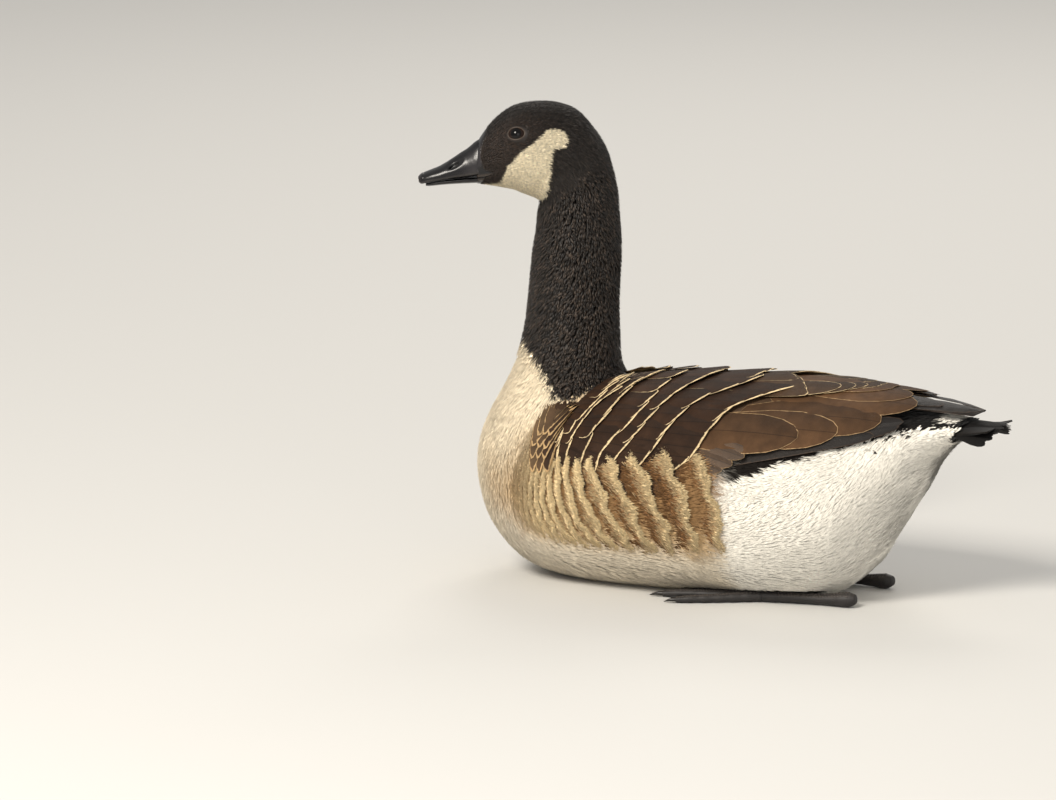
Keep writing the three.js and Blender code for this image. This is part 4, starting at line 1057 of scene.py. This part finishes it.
def flankTints(draw, base, fromEdge, gap, coat):  # fromEdge is mm from the column's rear edge at each station
    look = flankLook
    count = len(fromEdge)
    low, high = look["paleTo"]
    high = high + look["paleWider"] * (base < look["paleRear"])
    pale = before(fromEdge + draw.normal(0, look["ragged"], count)[:, None], (low, high))
    front = after(base, look["front"])
    tints = np.tile(blendTo(linear(look["mid"]), tone["tan"], front * look["frontTan"]), (count, 3, 1))
    tints = blendTo(tints, linear(look["dark"]),
                    after(fromEdge / gap[:, None], look["darkFrom"]) * look["darkDepth"])
    tints = blendTo(tints, blendTo(linear(look["pale"]), linear(look["frontPale"]), front), pale)
    tints = tints * draw.uniform(*look["vary"], count)[:, None, None]
    tints = blendTo(tints, coat[:, None], look["coatDepth"] * after(base, look["coat"]))
    return np.repeat(tints, [1, 3, 1], axis=1)


def makeFlank(side, name):
    draw = np.random.default_rng(60 + side)
    sets = []
    spacing = np.diff(flank["places"])
    for c, base in enumerate(flank["places"][:-1]):
        top, low = np.interp(base, *flank["top"]), np.interp(base, *flank["low"])
        count = int(np.interp(base, *flank["count"]))
        degrees = draw.uniform(top - flank["past"][0], low + flank["past"][1], count)
        phase = 1 - (np.arange(count) + draw.uniform(0, 1, count)) / count  # 1 at the column's front
        line = flankLine(c, degrees, side)
        u = line + (flankLine(c + 1, degrees, side) - line) * phase
        a = side * np.radians(degrees)
        gap = spacing[c] * np.linalg.norm(skinFrame(bodySkin, u, a)[0], axis=1)
        toEdge = phase * gap  # mm to the column's rear edge
        long = draw.uniform(*flank["long"], count) * np.interp(base, *flank["longShare"])
        over = flank["over"] * draw.uniform(*flank["overVary"], count) + flank["overLeast"]
        long = np.minimum(long, toEdge + over)
        wide = draw.uniform(*flank["wide"], count)
        stations = [s for s, _ in spike["stations"]]
        tints = flankTints(draw, base, toEdge[:, None] - long[:, None] * stations, gap, bodyTint(u, a))
        ridge = np.interp(phase, *flank["ridge"]) * np.interp(base, *flank["ridgeShare"])
        ridge = ridge + draw.uniform(*flank["ridgeVary"], count)
        fade = after(degrees - top, flank["topFade"]) * before(degrees - low, flank["lowFade"])
        rise = ridge * (flank["ridgeLeast"] + (1 - flank["ridgeLeast"]) * fade)
        rise = rise + flank["topRise"] * before(degrees - top, flank["topRiseTo"])
        turn, spreadOut = flank["lie"]
        share = (degrees - (top + low) / 2) / (low - top)
        lie = side * (turn + spreadOut * share * before(base, flank["lieRear"]))
        form = dict(spike, rise=rise, rootRise=np.maximum(rise - flank["root"], flank["rootLeast"]),
                    crown=flank["crown"], roll=draw.normal(0, flank["roll"], count))
        lie = lie + draw.normal(0, flank["lieStray"], count)
        sets.append(layFeathers(bodySkin, u, a, lie, long, wide, form, tints))
    half = len(sets) // 2
    buildPiece("flank_rear_" + name, sets[:half], flankCoat)
    buildPiece("flank_front_" + name, sets[half:], flankCoat)


# Tail
tailFan = {"rootY": 224, "rootZ": 171, "rootHalf": 17, "long": 51, "round": 6, "ragged": 4, "fan": 21,
           "fall": 0.045, "arch": 0.012, "count": 17, "wide": 14, "stack": 3.2, "tint": "#0d0b0a",
           "vary": (0.8, 1.3), "edge": 1.6, "edgeWide": 0.7, "crown": 0.8, "roll": -0.5}


def tailAt(u, v):
    u, v = np.broadcast_arrays(np.asarray(u, float), np.asarray(v, float))
    turn = math.radians(tailFan["fan"]) * v
    x = tailFan["rootHalf"] * v + u * np.sin(turn)
    return np.stack([x, tailFan["rootY"] + u * np.cos(turn),
                     tailFan["rootZ"] - tailFan["fall"] * u - tailFan["arch"] * x * x], -1)


def makeTail():
    count = tailFan["count"]
    v = np.linspace(-1, 1, count)
    draw = np.random.default_rng(81)
    tint = np.tile(linear(tailFan["tint"]), (count, 1)) * draw.uniform(*tailFan["vary"], count)[:, None]
    edge = np.concatenate([tint * tailFan["edge"], np.full((count, 1), tailFan["edgeWide"])], 1)
    long = tailFan["long"] - tailFan["round"] * v * v - draw.uniform(0, tailFan["ragged"], count)
    rise = -tailFan["stack"] * abs(v)  # the middle feathers lie on top
    form = dict(quillForm, rise=rise, rootRise=rise - 0.5, crown=tailFan["crown"],
                roll=tailFan["roll"] * np.sign(v))
    skin = {"at": tailAt, "facing": -1, "rear": 1}
    made = layFeathers(skin, np.zeros(count), v, 0, long, tailFan["wide"], form, tint, edge,
                       patchCells(count))
    buildPiece("tail_feathers", [made], tailVane, ("tail",), sharp=50)


# Bill. Sizes are mm, angles are degrees from the ridge, and places run from the bill's base to its tip.
bill = {"around": 120, "along": 110, "start": -0.45, "round": 0.4, "horn": "#0f0e10", "base": "#2c2a2c",
        "ridge": "#37332f", "tip": "#1a1412", "mouthLine": "#6b5a4b", "wear": 0.12, "pits": 0.06,
        "pitSize": 2.4}
nostril = {"y": -256.2, "z": 373.5, "slope": 33, "long": 5.4, "high": 1.5, "deep": 2.6, "fade": (0.72, 1.08),
           "sides": (20, 110)}
groove = {"ahead": 2, "long": 11, "high": 4.2, "deep": 0.9, "fade": (0.35, 1.0)}  # round the nostril
# the lip's pale share is a painted highlight, in the ridge colour, along the raised cutting edge
lip = {"angle": 110, "half": 11, "rise": 0.85, "end": (5.3, 6), "pale": 0.5}  # the cutting edge
nail = {"from": (4.75, 4.95), "low": (60, 75), "rise": 0.35, "line": 4.85, "lineHalf": 0.06, "lineLow": 70,
        "tint": (4.9, 5.6)}
billBase = {"end": (-0.1, 0.9), "low": (100, 125), "rise": 1.4, "ridgeRise": 0.8, "ridgeLow": (10, 60),
            "tint": (0.2, 1.5), "tintFrom": (25, 60)}
lowerRidge = {"angle": 75, "half": 14, "rise": 0.25}
# Bare skin of the bill's base that reaches back round the face's feathers. It runs from back behind the
# feathers' edge to end, at the given steps with the given rises, and its top and mouth are dark.
saddle = {"around": 160, "back": 0.35, "end": 30.02, "steps": [0, 0.12, 0.3, 0.5, 0.7, 0.85, 1.0],
          "rises": [-1.2, -0.3, 0.1, 0.15, 0.1, 0.0, -0.25], "thick": 2.0, "top": (30, 55), "low": (85, 100)}
# the line of the mouth on the saddle, from its corner forwards, and the lips over and under it
mouth = {"cornerY": -224.3, "cornerZ": 363.9, "frontY": -240, "frontZ": 360.9, "half": 0.7, "deep": 1.1,
         "upper": 2.2, "upperHalf": 1.1, "lower": -2.0, "lowerHalf": 1.0, "lipRise": 0.45, "lipPale": 0.25}
upperBillRows = np.array([
    [-234.5, 392, -235.3, 362.4, 14.6, 0.3, 1.8, 3],
    [-247, 385, -247, 361.2, 13.8, 0.3, 1.8, 3],
    [-258, 377.6, -258, 360.2, 12.8, 0.32, 1.8, 3],
    [-268, 371.4, -268, 358.8, 12, 0.34, 1.9, 3],
    [-277, 367.6, -277.5, 357, 10.8, 0.38, 2, 2.6],
    [-284, 364.6, -284.5, 355, 8.4, 0.42, 2, 2.4],
    [-287.6, 361.4, -287.4, 356.4, 4.6, 0.5, 2, 2],
])
lowerBillRows = np.array([
    [-235.4, 361.5, -235.5, 356, 12.2, 0.8, 3, 2],
    [-250, 360.4, -250, 355.4, 11.4, 0.8, 3, 2],
    [-265, 358.6, -265, 354.4, 10.2, 0.8, 3, 2],
    [-276, 356.6, -276, 353.2, 8.2, 0.8, 3, 2],
    [-281, 355.4, -281, 353, 5, 0.8, 3, 2],
])


def swell(x, middle, half):  # a smooth rise to 1 at the middle
    return np.exp(-((x - middle) / half) ** 2)


def billTube(rows, shape):
    last, end = len(rows) - 1, bill["round"]
    v = np.concatenate([[bill["start"]], np.linspace(0, last, bill["along"])])
    v = np.where(v > last - end, last - end + end * np.sin((v - last + end) / end * np.pi / 2), v)
    v, a = np.meshgrid(v, turns(bill["around"]), indexing="ij")
    straight = tubePoint(rows, v, a)
    e = 0.01
    normal = unit(np.cross(tubePoint(rows, v + e, a) - tubePoint(rows, v - e, a),
                           tubePoint(rows, v, a + e) - tubePoint(rows, v, a - e)))
    lift, tints = shape(v, foldAngle(a), straight)
    return gridSet(turned(straight + normal * lift[..., None]), tints,
                   inMap(pair(a / (2 * np.pi), (v + 0.5) / (last + 1))))


def upperShape(v, degrees, p):
    slope = math.radians(nostril["slope"])
    dy, dz = p[..., 1] - nostril["y"], p[..., 2] - nostril["z"]
    x, y = dy * math.cos(slope) + dz * math.sin(slope), dz * math.cos(slope) - dy * math.sin(slope)
    side = (degrees > nostril["sides"][0]) & (degrees < nostril["sides"][1])
    hole = before(np.hypot(x / nostril["long"], y / nostril["high"]), nostril["fade"]) * side
    hollow = before(np.hypot((x - groove["ahead"]) / groove["long"], y / groove["high"]),
                    groove["fade"]) * side
    edge = swell(degrees, lip["angle"], lip["half"]) * before(v, lip["end"])
    plate = after(v, nail["from"]) * before(degrees, nail["low"])
    plateLine = swell(v, nail["line"], nail["lineHalf"]) * (degrees < nail["lineLow"])
    base = billBase["rise"] + billBase["ridgeRise"] * before(degrees, billBase["ridgeLow"])
    base = base * before(v, billBase["end"]) * before(degrees, billBase["low"])
    wear = cellNoise(p, bill["pitSize"], 31)
    lift = lip["rise"] * edge + nail["rise"] * (plate - plateLine) + base
    lift = lift - nostril["deep"] * hole - groove["deep"] * hollow + bill["pits"] * wear
    skin = before(v + 0.2 * wear, billBase["tint"]) * after(degrees, billBase["tintFrom"])
    tints = blendTo(np.broadcast_to(linear(bill["horn"]), p.shape), linear(bill["base"]), skin * 0.8)
    # painted highlight along the raised cutting edge
    tints = blendTo(tints, linear(bill["ridge"]), edge * lip["pale"])
    tints = blendTo(tints, linear(bill["tip"]), after(v, nail["tint"]) * 0.8)
    # painted shade: the nostril's hollow is coloured nearly black
    tints = blendTo(tints, np.zeros(3), hole * 0.95)
    return lift, tints * (1 + bill["wear"] * wear)[..., None]


def lowerShape(_, degrees, p):
    wear = cellNoise(p, bill["pitSize"], 33)
    lift = lowerRidge["rise"] * swell(degrees, lowerRidge["angle"], lowerRidge["half"]) + 0.05 * wear
    return lift, linear(bill["horn"]) * (1 + bill["wear"] * wear)[..., None]


def billSaddle():
    back = featherEdge(foldAngle(turns(saddle["around"]))) - saddle["back"]
    steps = np.array(saddle["steps"])[:, None]
    u, a = np.broadcast_arrays(back + (saddle["end"] - back) * steps, turns(saddle["around"]))
    degrees = foldAngle(a)
    normal = skinFrame(bodySkin, u, a)[2]
    straight = straightBody(u, a)
    slope = (mouth["frontZ"] - mouth["cornerZ"]) / (mouth["frontY"] - mouth["cornerY"])
    high = straight[..., 2] - mouth["cornerZ"] - slope * (straight[..., 1] - mouth["cornerY"])
    line = swell(high, 0, mouth["half"]) * (straight[..., 1] < mouth["cornerY"] + 0.8)
    lips = swell(high, mouth["upper"], mouth["upperHalf"]) + swell(high, mouth["lower"], mouth["lowerHalf"])
    rise = np.array(saddle["rises"])[:, None] + mouth["lipRise"] * lips - mouth["deep"] * line
    outer = bodyAt(u, a) + normal * rise[..., None]
    inner = bodyAt(u, a) - normal * saddle["thick"]
    points = np.concatenate([outer, inner[::-1]])
    dark = np.maximum(before(degrees, saddle["top"]), after(degrees, saddle["low"]))
    tints = blendTo(np.broadcast_to(linear(bill["base"]), outer.shape), linear(bill["horn"]), dark)
    tints = blendTo(tints, linear(bill["mouthLine"]), lips * mouth["lipPale"])
    tints = blendTo(tints, np.zeros(3), line)
    rings, sides = points.shape[:2]
    uv = pair(turns(sides) / (2 * np.pi), (np.arange(rings) / rings)[:, None] * 0.06 + 0.93)
    return plainSet(points, np.concatenate([tints, tints[::-1]]), uv, ringFaces(rings, sides, closed=True))


# Eyes and lids. depth is how deep the ball's centre lies, u and angle its place, and long and high the
# opening.
eye = {"radius": 8.6, "depth": 5.4, "u": 26.68, "angle": 62.5, "long": 7.05, "high": 5.15,
       "pupil": (4.5, 5.2),
       "rings": 40, "sides": 64, "front": 1.5, "cornea": 0.035, "corneaHalf": 0.45, "iris": "#1f1008",
       "dark": "#020101"}
# a lid's section from its inner edge out: mm from the opening, mm of rise and the share of the painted
# highlight that lightens the rim's raised edge
lids = {"profile": [(-0.4, -0.5, 0), (0.0, 0.2, 1), (0.35, 0.55, 1), (0.8, 0.6, 0.6), (1.4, 0.25, 0.2),
                    (2.2, 0.1, 0), (3.2, -0.2, 0), (4.2, -0.9, 0), (3.0, -2.4, 0), (0.0, -2.4, 0)],
        "sides": 96, "onBall": (0.4, 3.4), "skin": "#1b1410", "rim": "#41352b"}


def eyeSeat(side):
    u, a = np.array([eye["u"]]), np.array([side * math.radians(eye["angle"])])
    along, around, normal = skinFrame(bodySkin, u, a)
    forward = unit(along)[0]
    return bodyAt(u, a)[0], forward, np.cross(normal[0], forward), normal[0], (u, a, along, around)


def makeEye(side, name):
    skin, forward, across, normal, _ = eyeSeat(side)
    polar = np.linspace(0.0, np.pi, eye["rings"])[1:-1, None]
    turn = turns(eye["sides"])[None]
    direction = (np.cos(polar)[..., None] * normal + (np.sin(polar) * np.cos(turn))[..., None] * forward
                 + (np.sin(polar) * np.sin(turn))[..., None] * across)
    radius = eye["radius"] * (1 + eye["cornea"] * swell(polar, 0, eye["corneaHalf"]))
    points = skin - normal * eye["depth"] + direction * (radius + 0 * turn)[..., None]
    iris = after(eye["radius"] * np.sin(polar), eye["pupil"]) * (polar < eye["front"])
    tints = blendTo(np.broadcast_to(linear(eye["dark"]), points.shape), linear(eye["iris"]), iris)
    uv = 0.5 + 0.48 * pair(polar / np.pi * np.cos(turn), polar / np.pi * np.sin(turn))
    buildPiece("eye_ball_" + name, [gridSet(points, tints, uv)], wetEye, ("eye_" + name,))


def makeLids(side, name):  # a soft rim that lies on the eyeball and runs out into the face
    skin, forward, across, normal, (u0, a0, along, around) = eyeSeat(side)
    sides = lids["sides"]
    turn = turns(sides)
    c, s = np.cos(turn), np.sin(turn)
    margin = np.hypot(eye["long"] * c, eye["high"] * s)
    onBall = np.sqrt(np.maximum(eye["radius"] ** 2 - margin ** 2, 0)) - eye["depth"]
    rings, tints = [], []
    for out, lift, rim in lids["profile"]:
        reach = ((eye["long"] + out) * c)[:, None] * forward + ((eye["high"] + out) * s)[:, None] * across
        du, da = slide(along, around, reach)
        near = before(out, lids["onBall"])
        high = skin + reach + normal * (onBall + lift)[:, None]
        low = bodyAt(u0 + du, a0 + da) + skinFrame(bodySkin, u0 + du, a0 + da)[2] * lift
        rings.append(high * near + low * (1 - near))
        # painted highlight on the lid's raised rim
        tints.append(np.tile(blendTo(linear(lids["skin"]), linear(lids["rim"]), rim), (sides, 1)))
    n = len(rings)
    uv = pair(turn / (2 * np.pi), np.arange(n)[:, None] / n)
    made = plainSet(np.array(rings), np.array(tints), uv, ringFaces(n, sides, closed=True), side < 0)
    buildPiece("eyelids_" + name, [made], lidSkin)


def makeHead():
    buildPiece("bill_upper_horn", [billTube(upperBillRows, upperShape), billSaddle()], horn,
               ("bill_upper",))
    buildPiece("bill_lower_horn", [billTube(lowerBillRows, lowerShape)], horn, ("bill_lower",))
    for side, name in hands:
        makeEye(side, name)
        makeLids(side, name)


# Feet: a shank with three webbed toes and a small hind toe, laid flat under the belly. Limb rows are a middle
# line's x, y and z with the radius there.
foot = {"sides": 28, "rings": {"shank": 110, "hind": 30, "toe": 80, "claw": 24}, "skin": "#262322",
        "scute": "#37322f", "claw": "#15110e", "floor": 0.05, "flat": 0.94, "endShare": 0.55, "mottle": 0.2,
        "mottleSize": 3, "topPale": 0.25, "top": (0.1, 0.7)}
swelling = {"apart": 13, "shank": 0.02, "toe": 0.05, "hind": 0.05, "claw": 0}  # a limb's joints
ridges = {"apart": 2.6, "shank": 0.15, "toe": 0.3, "hind": 0.3, "claw": 0}  # across a limb's upper side
web = {"tint": "#1c1a1a", "thick": 1.7, "high": 2.9, "sag": 0.9, "root": 0.12, "rootY": 62, "fold": 0.22,
       "folds": 34, "crease": 0.3, "creaseSize": 5, "edge": (0.93, 1), "edgeDrop": 0.9, "floor": 0.1,
       "mottle": 0.25, "mottleSize": 2.5, "along": 60, "across": 40}
shankRows = np.array([
    [43, 148, 8.2, 4.2], [43.3, 143, 7.4, 6.6], [43.8, 138, 6.8, 7], [46, 116, 5.8, 5], [50, 86, 5.4, 4.7],
    [53.4, 66, 5.6, 5.6], [55, 57, 5, 5.2]])
toeRows = {
    "inner": np.array([[54, 62, 5.2, 5.4], [51, 32, 4.3, 4.1], [52, 4, 3.6, 3.4], [52.6, -7, 3, 2.6]]),
    "middle": np.array([[54, 62, 5.4, 5.6], [61, 26, 4.6, 4.4], [69, -10, 3.9, 3.7], [72.6, -27, 3.1, 2.7]]),
    "outer": np.array([[54, 62, 5.2, 5.4], [72, 32, 4.3, 4.1], [86, 6, 3.6, 3.4], [91.4, -6, 3, 2.6]]),
    "hind": np.array([[51, 57, 5.2, 4.2], [46.5, 66, 3.8, 3.2], [43, 72, 3, 2.3]]),
}
clawRows = {
    "inner": np.array([[52.3, -4, 3.3, 2.2], [53, -11, 3, 1.7], [53.5, -18, 1.2, 0.3]]),
    "middle": np.array([[72, -24, 3.4, 2.3], [73.6, -32, 3, 1.8], [74.5, -39, 1.2, 0.3]]),
    "outer": np.array([[90.7, -3, 3.3, 2.2], [93, -9.5, 3, 1.7], [95, -16, 1.2, 0.3]]),
    "hind": np.array([[44, 70.5, 3.2, 1.9], [41.5, 74.5, 2.6, 1.3], [40, 77.5, 1.2, 0.3]]),
}
# each web's two toes, the y of its corners on them, and how far its front edge dips back between them
webs = [("inner", "middle", -6, -22, 14), ("middle", "outer", -22, -4, 17)]


def runAlong(line):  # mm from the first point of a line
    return np.concatenate([[0], np.cumsum(np.linalg.norm(np.diff(line[:, :3], axis=0), axis=1))])


def limbSet(rows, side, kind, tint=foot["skin"]):
    # a round limb along its rows, with swellings at its joints and low ridges across its upper side
    rings = foot["rings"][kind]
    s = np.linspace(0, len(rows) - 1, rings)
    line = throughRows(rows, s)
    way = unit(np.gradient(line[:, :3], axis=0))
    out = unit(np.cross(way, [0, 0, 1.0]))
    up = np.cross(out, way)
    a = turns(foot["sides"])
    run = runAlong(line)[:, None]
    top = after(np.sin(a), foot["top"])
    radius = line[:, 3:] * (1 + swelling[kind] * np.cos(run / swelling["apart"] * 2 * np.pi))
    radius = radius + ridges[kind] * (abs(np.sin(run / ridges["apart"] * np.pi)) ** 0.5 - 0.7) * top
    radius = radius * np.where(np.arange(rings) % (rings - 1) == 0, foot["endShare"], 1)[:, None]
    section = np.cos(a)[:, None] * out[:, None] + np.sin(a)[:, None] * up[:, None] * foot["flat"]
    points = (line[:, None, :3] + radius[..., None] * section) * [side, 1, 1]
    points[..., 2] = np.maximum(points[..., 2], foot["floor"])
    folds = cellNoise(points, foot["mottleSize"], 51)
    tints = linear(tint) * (1 + foot["mottle"] * folds)[..., None] * (1 + foot["topPale"] * top[:, None])
    uv = pair(a / (2 * np.pi), (s / s[-1])[:, None])
    return gridSet(points, tints, uv, side < 0)


def webSet(first, second, startY, endY, dip, side):
    s, t = np.meshgrid(np.linspace(0, 1, web["along"]), np.linspace(0, 1, web["across"]), indexing="ij")
    lines = []
    for name, tipY in ((first, startY), (second, endY)):
        rows = toeRows[name]
        reach = np.clip((web["rootY"] - tipY) / (web["rootY"] - rows[-1][1]), 0, 1) * (len(rows) - 1)
        lines.append(throughRows(rows, web["root"] + (reach - web["root"]) * s))
    flat = lines[0] * (1 - t)[..., None] + lines[1] * t[..., None]
    middle = 4 * t * (1 - t)  # 1 half-way between the toes
    flat[..., 1] += dip * s ** 3 * middle
    folds = np.sin(t * web["folds"] + 5 * s) * web["fold"] * middle
    folds = folds + web["crease"] * cellNoise(flat[..., :3] * [1, 1, 0], web["creaseSize"], 52)
    top = web["high"] - web["sag"] * middle + folds - web["edgeDrop"] * after(s, web["edge"])
    points = np.stack([flat[..., :3]] * 2)
    points[..., 2] = [top, np.maximum(top - web["thick"], web["floor"])]
    points = points * [side, 1, 1]
    tints = linear(web["tint"]) * (1 + web["mottle"] * cellNoise(points, web["mottleSize"], 53))[..., None]
    return plainSet(points, tints, np.stack([pair(t, s)] * 2), sheetFaces(*s.shape), side < 0)


def repeatTree(name):
    # puts one small rounded plate on every point, turned by the point's own "up" and "way"
    tree = bpy.data.node_groups.new(name, "GeometryNodeTree")
    tree.interface.new_socket("Geometry", in_out="INPUT", socket_type="NodeSocketGeometry")
    for label, value in (("Length", 1.0), ("Width", 1.0), ("Height", 1.0), ("Variation", 0.1)):
        tree.interface.new_socket(label, in_out="INPUT", socket_type="NodeSocketFloat").default_value = value
    tree.interface.new_socket("Seed", in_out="INPUT", socket_type="NodeSocketInt").default_value = 7
    tree.interface.new_socket("Material", in_out="INPUT", socket_type="NodeSocketMaterial")
    tree.interface.new_socket("Geometry", in_out="OUTPUT", socket_type="NodeSocketGeometry")
    start = addNode(tree, "NodeGroupInput").outputs
    turn = None
    for axis, attribute in (("Z", "up"), ("X", "way")):
        vector = addNode(tree, "GeometryNodeInputNamedAttribute", {"data_type": "FLOAT_VECTOR"},
                         {"Name": attribute})
        settings = {"axis": axis, "pivot_axis": "AUTO" if turn is None else "Z"}
        inputs = {"Vector": vector.outputs["Attribute"]}
        if turn is not None:
            inputs["Rotation"] = turn
        turn = addNode(tree, "FunctionNodeAlignRotationToVector", settings, inputs).outputs[0]
    vary = addNode(tree, "FunctionNodeRandomValue", {"data_type": "FLOAT"}, {"Seed": start["Seed"]})
    larger = addNode(tree, "ShaderNodeMath", {"operation": "MULTIPLY_ADD"},
                     {0: vary.outputs[1], 1: start["Variation"], 2: 1.0})
    box = addNode(tree, "ShaderNodeCombineXYZ", inputs={
        "X": start["Length"], "Y": start["Width"], "Z": start["Height"]})
    scale = addNode(tree, "ShaderNodeVectorMath", {"operation": "SCALE"},
                    {0: box.outputs[0], "Scale": larger.outputs[0]})
    plate = addNode(tree, "GeometryNodeMeshIcoSphere", inputs={"Radius": 0.5, "Subdivisions": 2})
    soft = addNode(tree, "GeometryNodeSetShadeSmooth", inputs={0: plate.outputs[0]})
    put = addNode(tree, "GeometryNodeInstanceOnPoints", inputs={
        "Points": start["Geometry"], "Instance": soft.outputs[0], "Rotation": turn,
        "Scale": scale.outputs[0]})
    whole = addNode(tree, "GeometryNodeRealizeInstances", inputs={0: put.outputs[0]})
    coloured = addNode(tree, "GeometryNodeSetMaterial", inputs={
        "Geometry": whole.outputs[0], "Material": start["Material"]})
    addNode(tree, "NodeGroupOutput", inputs={"Geometry": coloured.outputs[0]})
    return tree


def repeatPiece(name, places, ups, ways, plate, material, slotName):
    mesh = bpy.data.meshes.new(name + "_points")
    mesh.from_pydata([tuple(p) for p in places * mm], [], [])
    addAttribute(mesh, "up", ups)
    addAttribute(mesh, "way", ways)
    carrier = bpy.data.objects.new(name + "_points", mesh)
    bpy.context.scene.collection.objects.link(carrier)
    modifier = carrier.modifiers.new("plates", "NODES")
    modifier.node_group = repeatTree(name)
    values = {"Length": plate["long"] * mm, "Width": plate["wide"] * mm, "Height": plate["high"] * mm,
              "Variation": plate["vary"], "Seed": 11, "Material": material}
    for item in modifier.node_group.interface.items_tree:
        if item.in_out == "INPUT" and item.name in values:
            modifier[item.identifier] = values[item.name]
    solved = carrier.evaluated_get(bpy.context.evaluated_depsgraph_get())
    made = bpy.data.meshes.new_from_object(solved)
    carrier.modifiers.clear()
    bpy.data.objects.remove(carrier)
    addAttribute(made, "tint", np.tile([*linear(plate["tint"]), 1], (len(made.vertices), 1)))
    finishPiece(name, made)


# rows of small plates down the shank and the toes, at angles from the top in radians, where sunk is the share
# of the limb's radius at which their middles lie
scutes = {"long": 2.9, "wide": 2.5, "high": 0.9, "vary": 0.25, "tint": foot["scute"], "sunk": 0.93,
          "shank": {"apart": 2.9, "angles": (-0.9, -0.3, 0.3, 0.9)},
          "toe": {"apart": 2.6, "angles": (-0.3, 0.3)}}


def scutePlaces(side):
    places, ways = [], []
    limbs = [(shankRows[1:-1], scutes["shank"])]
    limbs += [(toeRows[name], scutes["toe"]) for name in ("inner", "middle", "outer")]
    for rows, tracks in limbs:
        s = np.linspace(0.05, len(rows) - 1.15, 400)
        run = runAlong(throughRows(rows, s))
        for k, angle in enumerate(tracks["angles"]):  # every second row is shifted by half a plate
            steps = np.arange(0.5 + 0.5 * (k % 2), run[-1] / tracks["apart"]) * tracks["apart"]
            at = np.interp(steps, run, s)
            here = throughRows(rows, at)
            way = unit(throughRows(rows, at + 0.01)[:, :3] - here[:, :3])
            out = unit(np.cross(way, [0, 0, 1.0]))
            up = np.cross(out, way) * math.cos(angle) + out * math.sin(angle)
            places.append(np.concatenate([here[:, :3] + up * (here[:, 3:] * scutes["sunk"]), up], 1))
            ways.append(way)
    both, ways = np.concatenate(places), np.concatenate(ways)
    flip = np.array([side, 1, 1])
    return both[:, :3] * flip, both[:, 3:] * flip, ways * flip


def makeFeet():
    for side, name in hands:
        shank = limbSet(shankRows, side, "shank")
        buildPiece("shank_skin_" + name, [shank], footSkin, ("shank_" + name,))
        toes = [limbSet(rows, side, "hind" if key == "hind" else "toe") for key, rows in toeRows.items()]
        toes += [webSet(*shape, side) for shape in webs]
        buildPiece("webbed_foot_" + name, toes, footSkin, ("foot_" + name,))
        claws = [limbSet(rows, side, "claw", foot["claw"]) for rows in clawRows.values()]
        buildPiece("claws_" + name, claws, clawHorn)
        repeatPiece("foot_scutes_" + name, *scutePlaces(side), scutes, footSkin, "foot_skin")


# the comb along the upper bill's edge, seen in the gape: its first and last place on the bill, and its angle
lamellae = {"long": 0.8, "wide": 1.8, "high": 2.2, "vary": 0.25, "tint": "#2a2523", "from": 0.3, "to": 4.6,
            "count": 44, "angle": 112, "inside": 0.9}


def makeLamellae():
    v = np.linspace(lamellae["from"], lamellae["to"], lamellae["count"])
    for side, name in hands:
        a = np.full(v.shape, side * math.radians(lamellae["angle"]))
        p = tubePoint(upperBillRows, v, a)
        way = unit(tubePoint(upperBillRows, v + 0.01, a) - p)
        down = unit(np.cross(way, [1.0, 0.0, 0.0]))
        start = p - np.array([side * lamellae["inside"], 0, 0])
        place = turned(start)
        repeatPiece("bill_lamellae_" + name, place, turned(start + down) - place, turned(start + way) - place,
                    lamellae, horn, "bill_horn")


print("Skin and coat")
makeSkin()
makeCoat()
print("Wings and flanks")
for side, name in hands:
    makeWing(side, name)
    makeFlank(side, name)
print("Tail, head and feet")
makeTail()
makeHead()
makeLamellae()
makeFeet()

# Stage, light and camera
view = {"azimuth": 115, "elevation": 11, "distance": 8.0, "across": 0.9504, "right": -0.1755, "up": 0.1656}


def makeFloor():
    bpy.ops.mesh.primitive_plane_add(size=60)
    floor = bpy.context.object
    floor.name = "floor"
    colour = (*linear("#cdccc9"), 1)
    floor.data.materials.append(startMaterial("pale floor", {"Roughness": 0.8, "Base Color": colour})[0])


def makeLight(name, place, size, watts, colour, aim=(0, 0, 0.15)):
    data = bpy.data.lights.new(name, "AREA")
    data.size = size
    data.energy = watts
    data.color = colour
    light = bpy.data.objects.new(name, data)
    light.location = place
    light.rotation_euler = (Vector(aim) - Vector(place)).to_track_quat("-Z", "Y").to_euler()
    bpy.context.scene.collection.objects.link(light)


def makeCamera():
    a, e = math.radians(view["azimuth"]), math.radians(view["elevation"])
    back = Vector((math.sin(a) * math.cos(e), -math.cos(a) * math.cos(e), math.sin(e)))
    right = Vector((math.cos(a), math.sin(a), 0))
    data = bpy.data.cameras.new("camera")
    data.sensor_width = 36
    data.lens = 36 * view["distance"] / view["across"]
    data.clip_end = 100
    camera = bpy.data.objects.new("camera", data)
    camera.location = right * view["right"] + back.cross(right) * view["up"] + back * view["distance"]
    camera.rotation_mode = "QUATERNION"
    camera.rotation_quaternion = (-back).to_track_quat("-Z", "Y")
    bpy.context.scene.collection.objects.link(camera)
    bpy.context.scene.camera = camera


print("Stage, light and camera")
makeFloor()
makeLight("warm soft key", (3.1, -0.7, 2.9), 1.3, 180, (1, 0.94, 0.85))
makeLight("camera side fill", (3.4, 2.6, 1.4), 2.6, 26, (1, 0.98, 0.96))
makeLight("far side rim", (-2.8, -0.8, 2.6), 1.8, 40, (1, 0.95, 0.88))
world = bpy.data.worlds.new("studio")
world.use_nodes = True
world.node_tree.nodes["Background"].inputs["Color"].default_value = (1, 0.98, 0.95, 1)
world.node_tree.nodes["Background"].inputs["Strength"].default_value = 0.55
bpy.context.scene.world = world
bpy.context.scene.view_settings.view_transform = "Standard"
makeCamera()
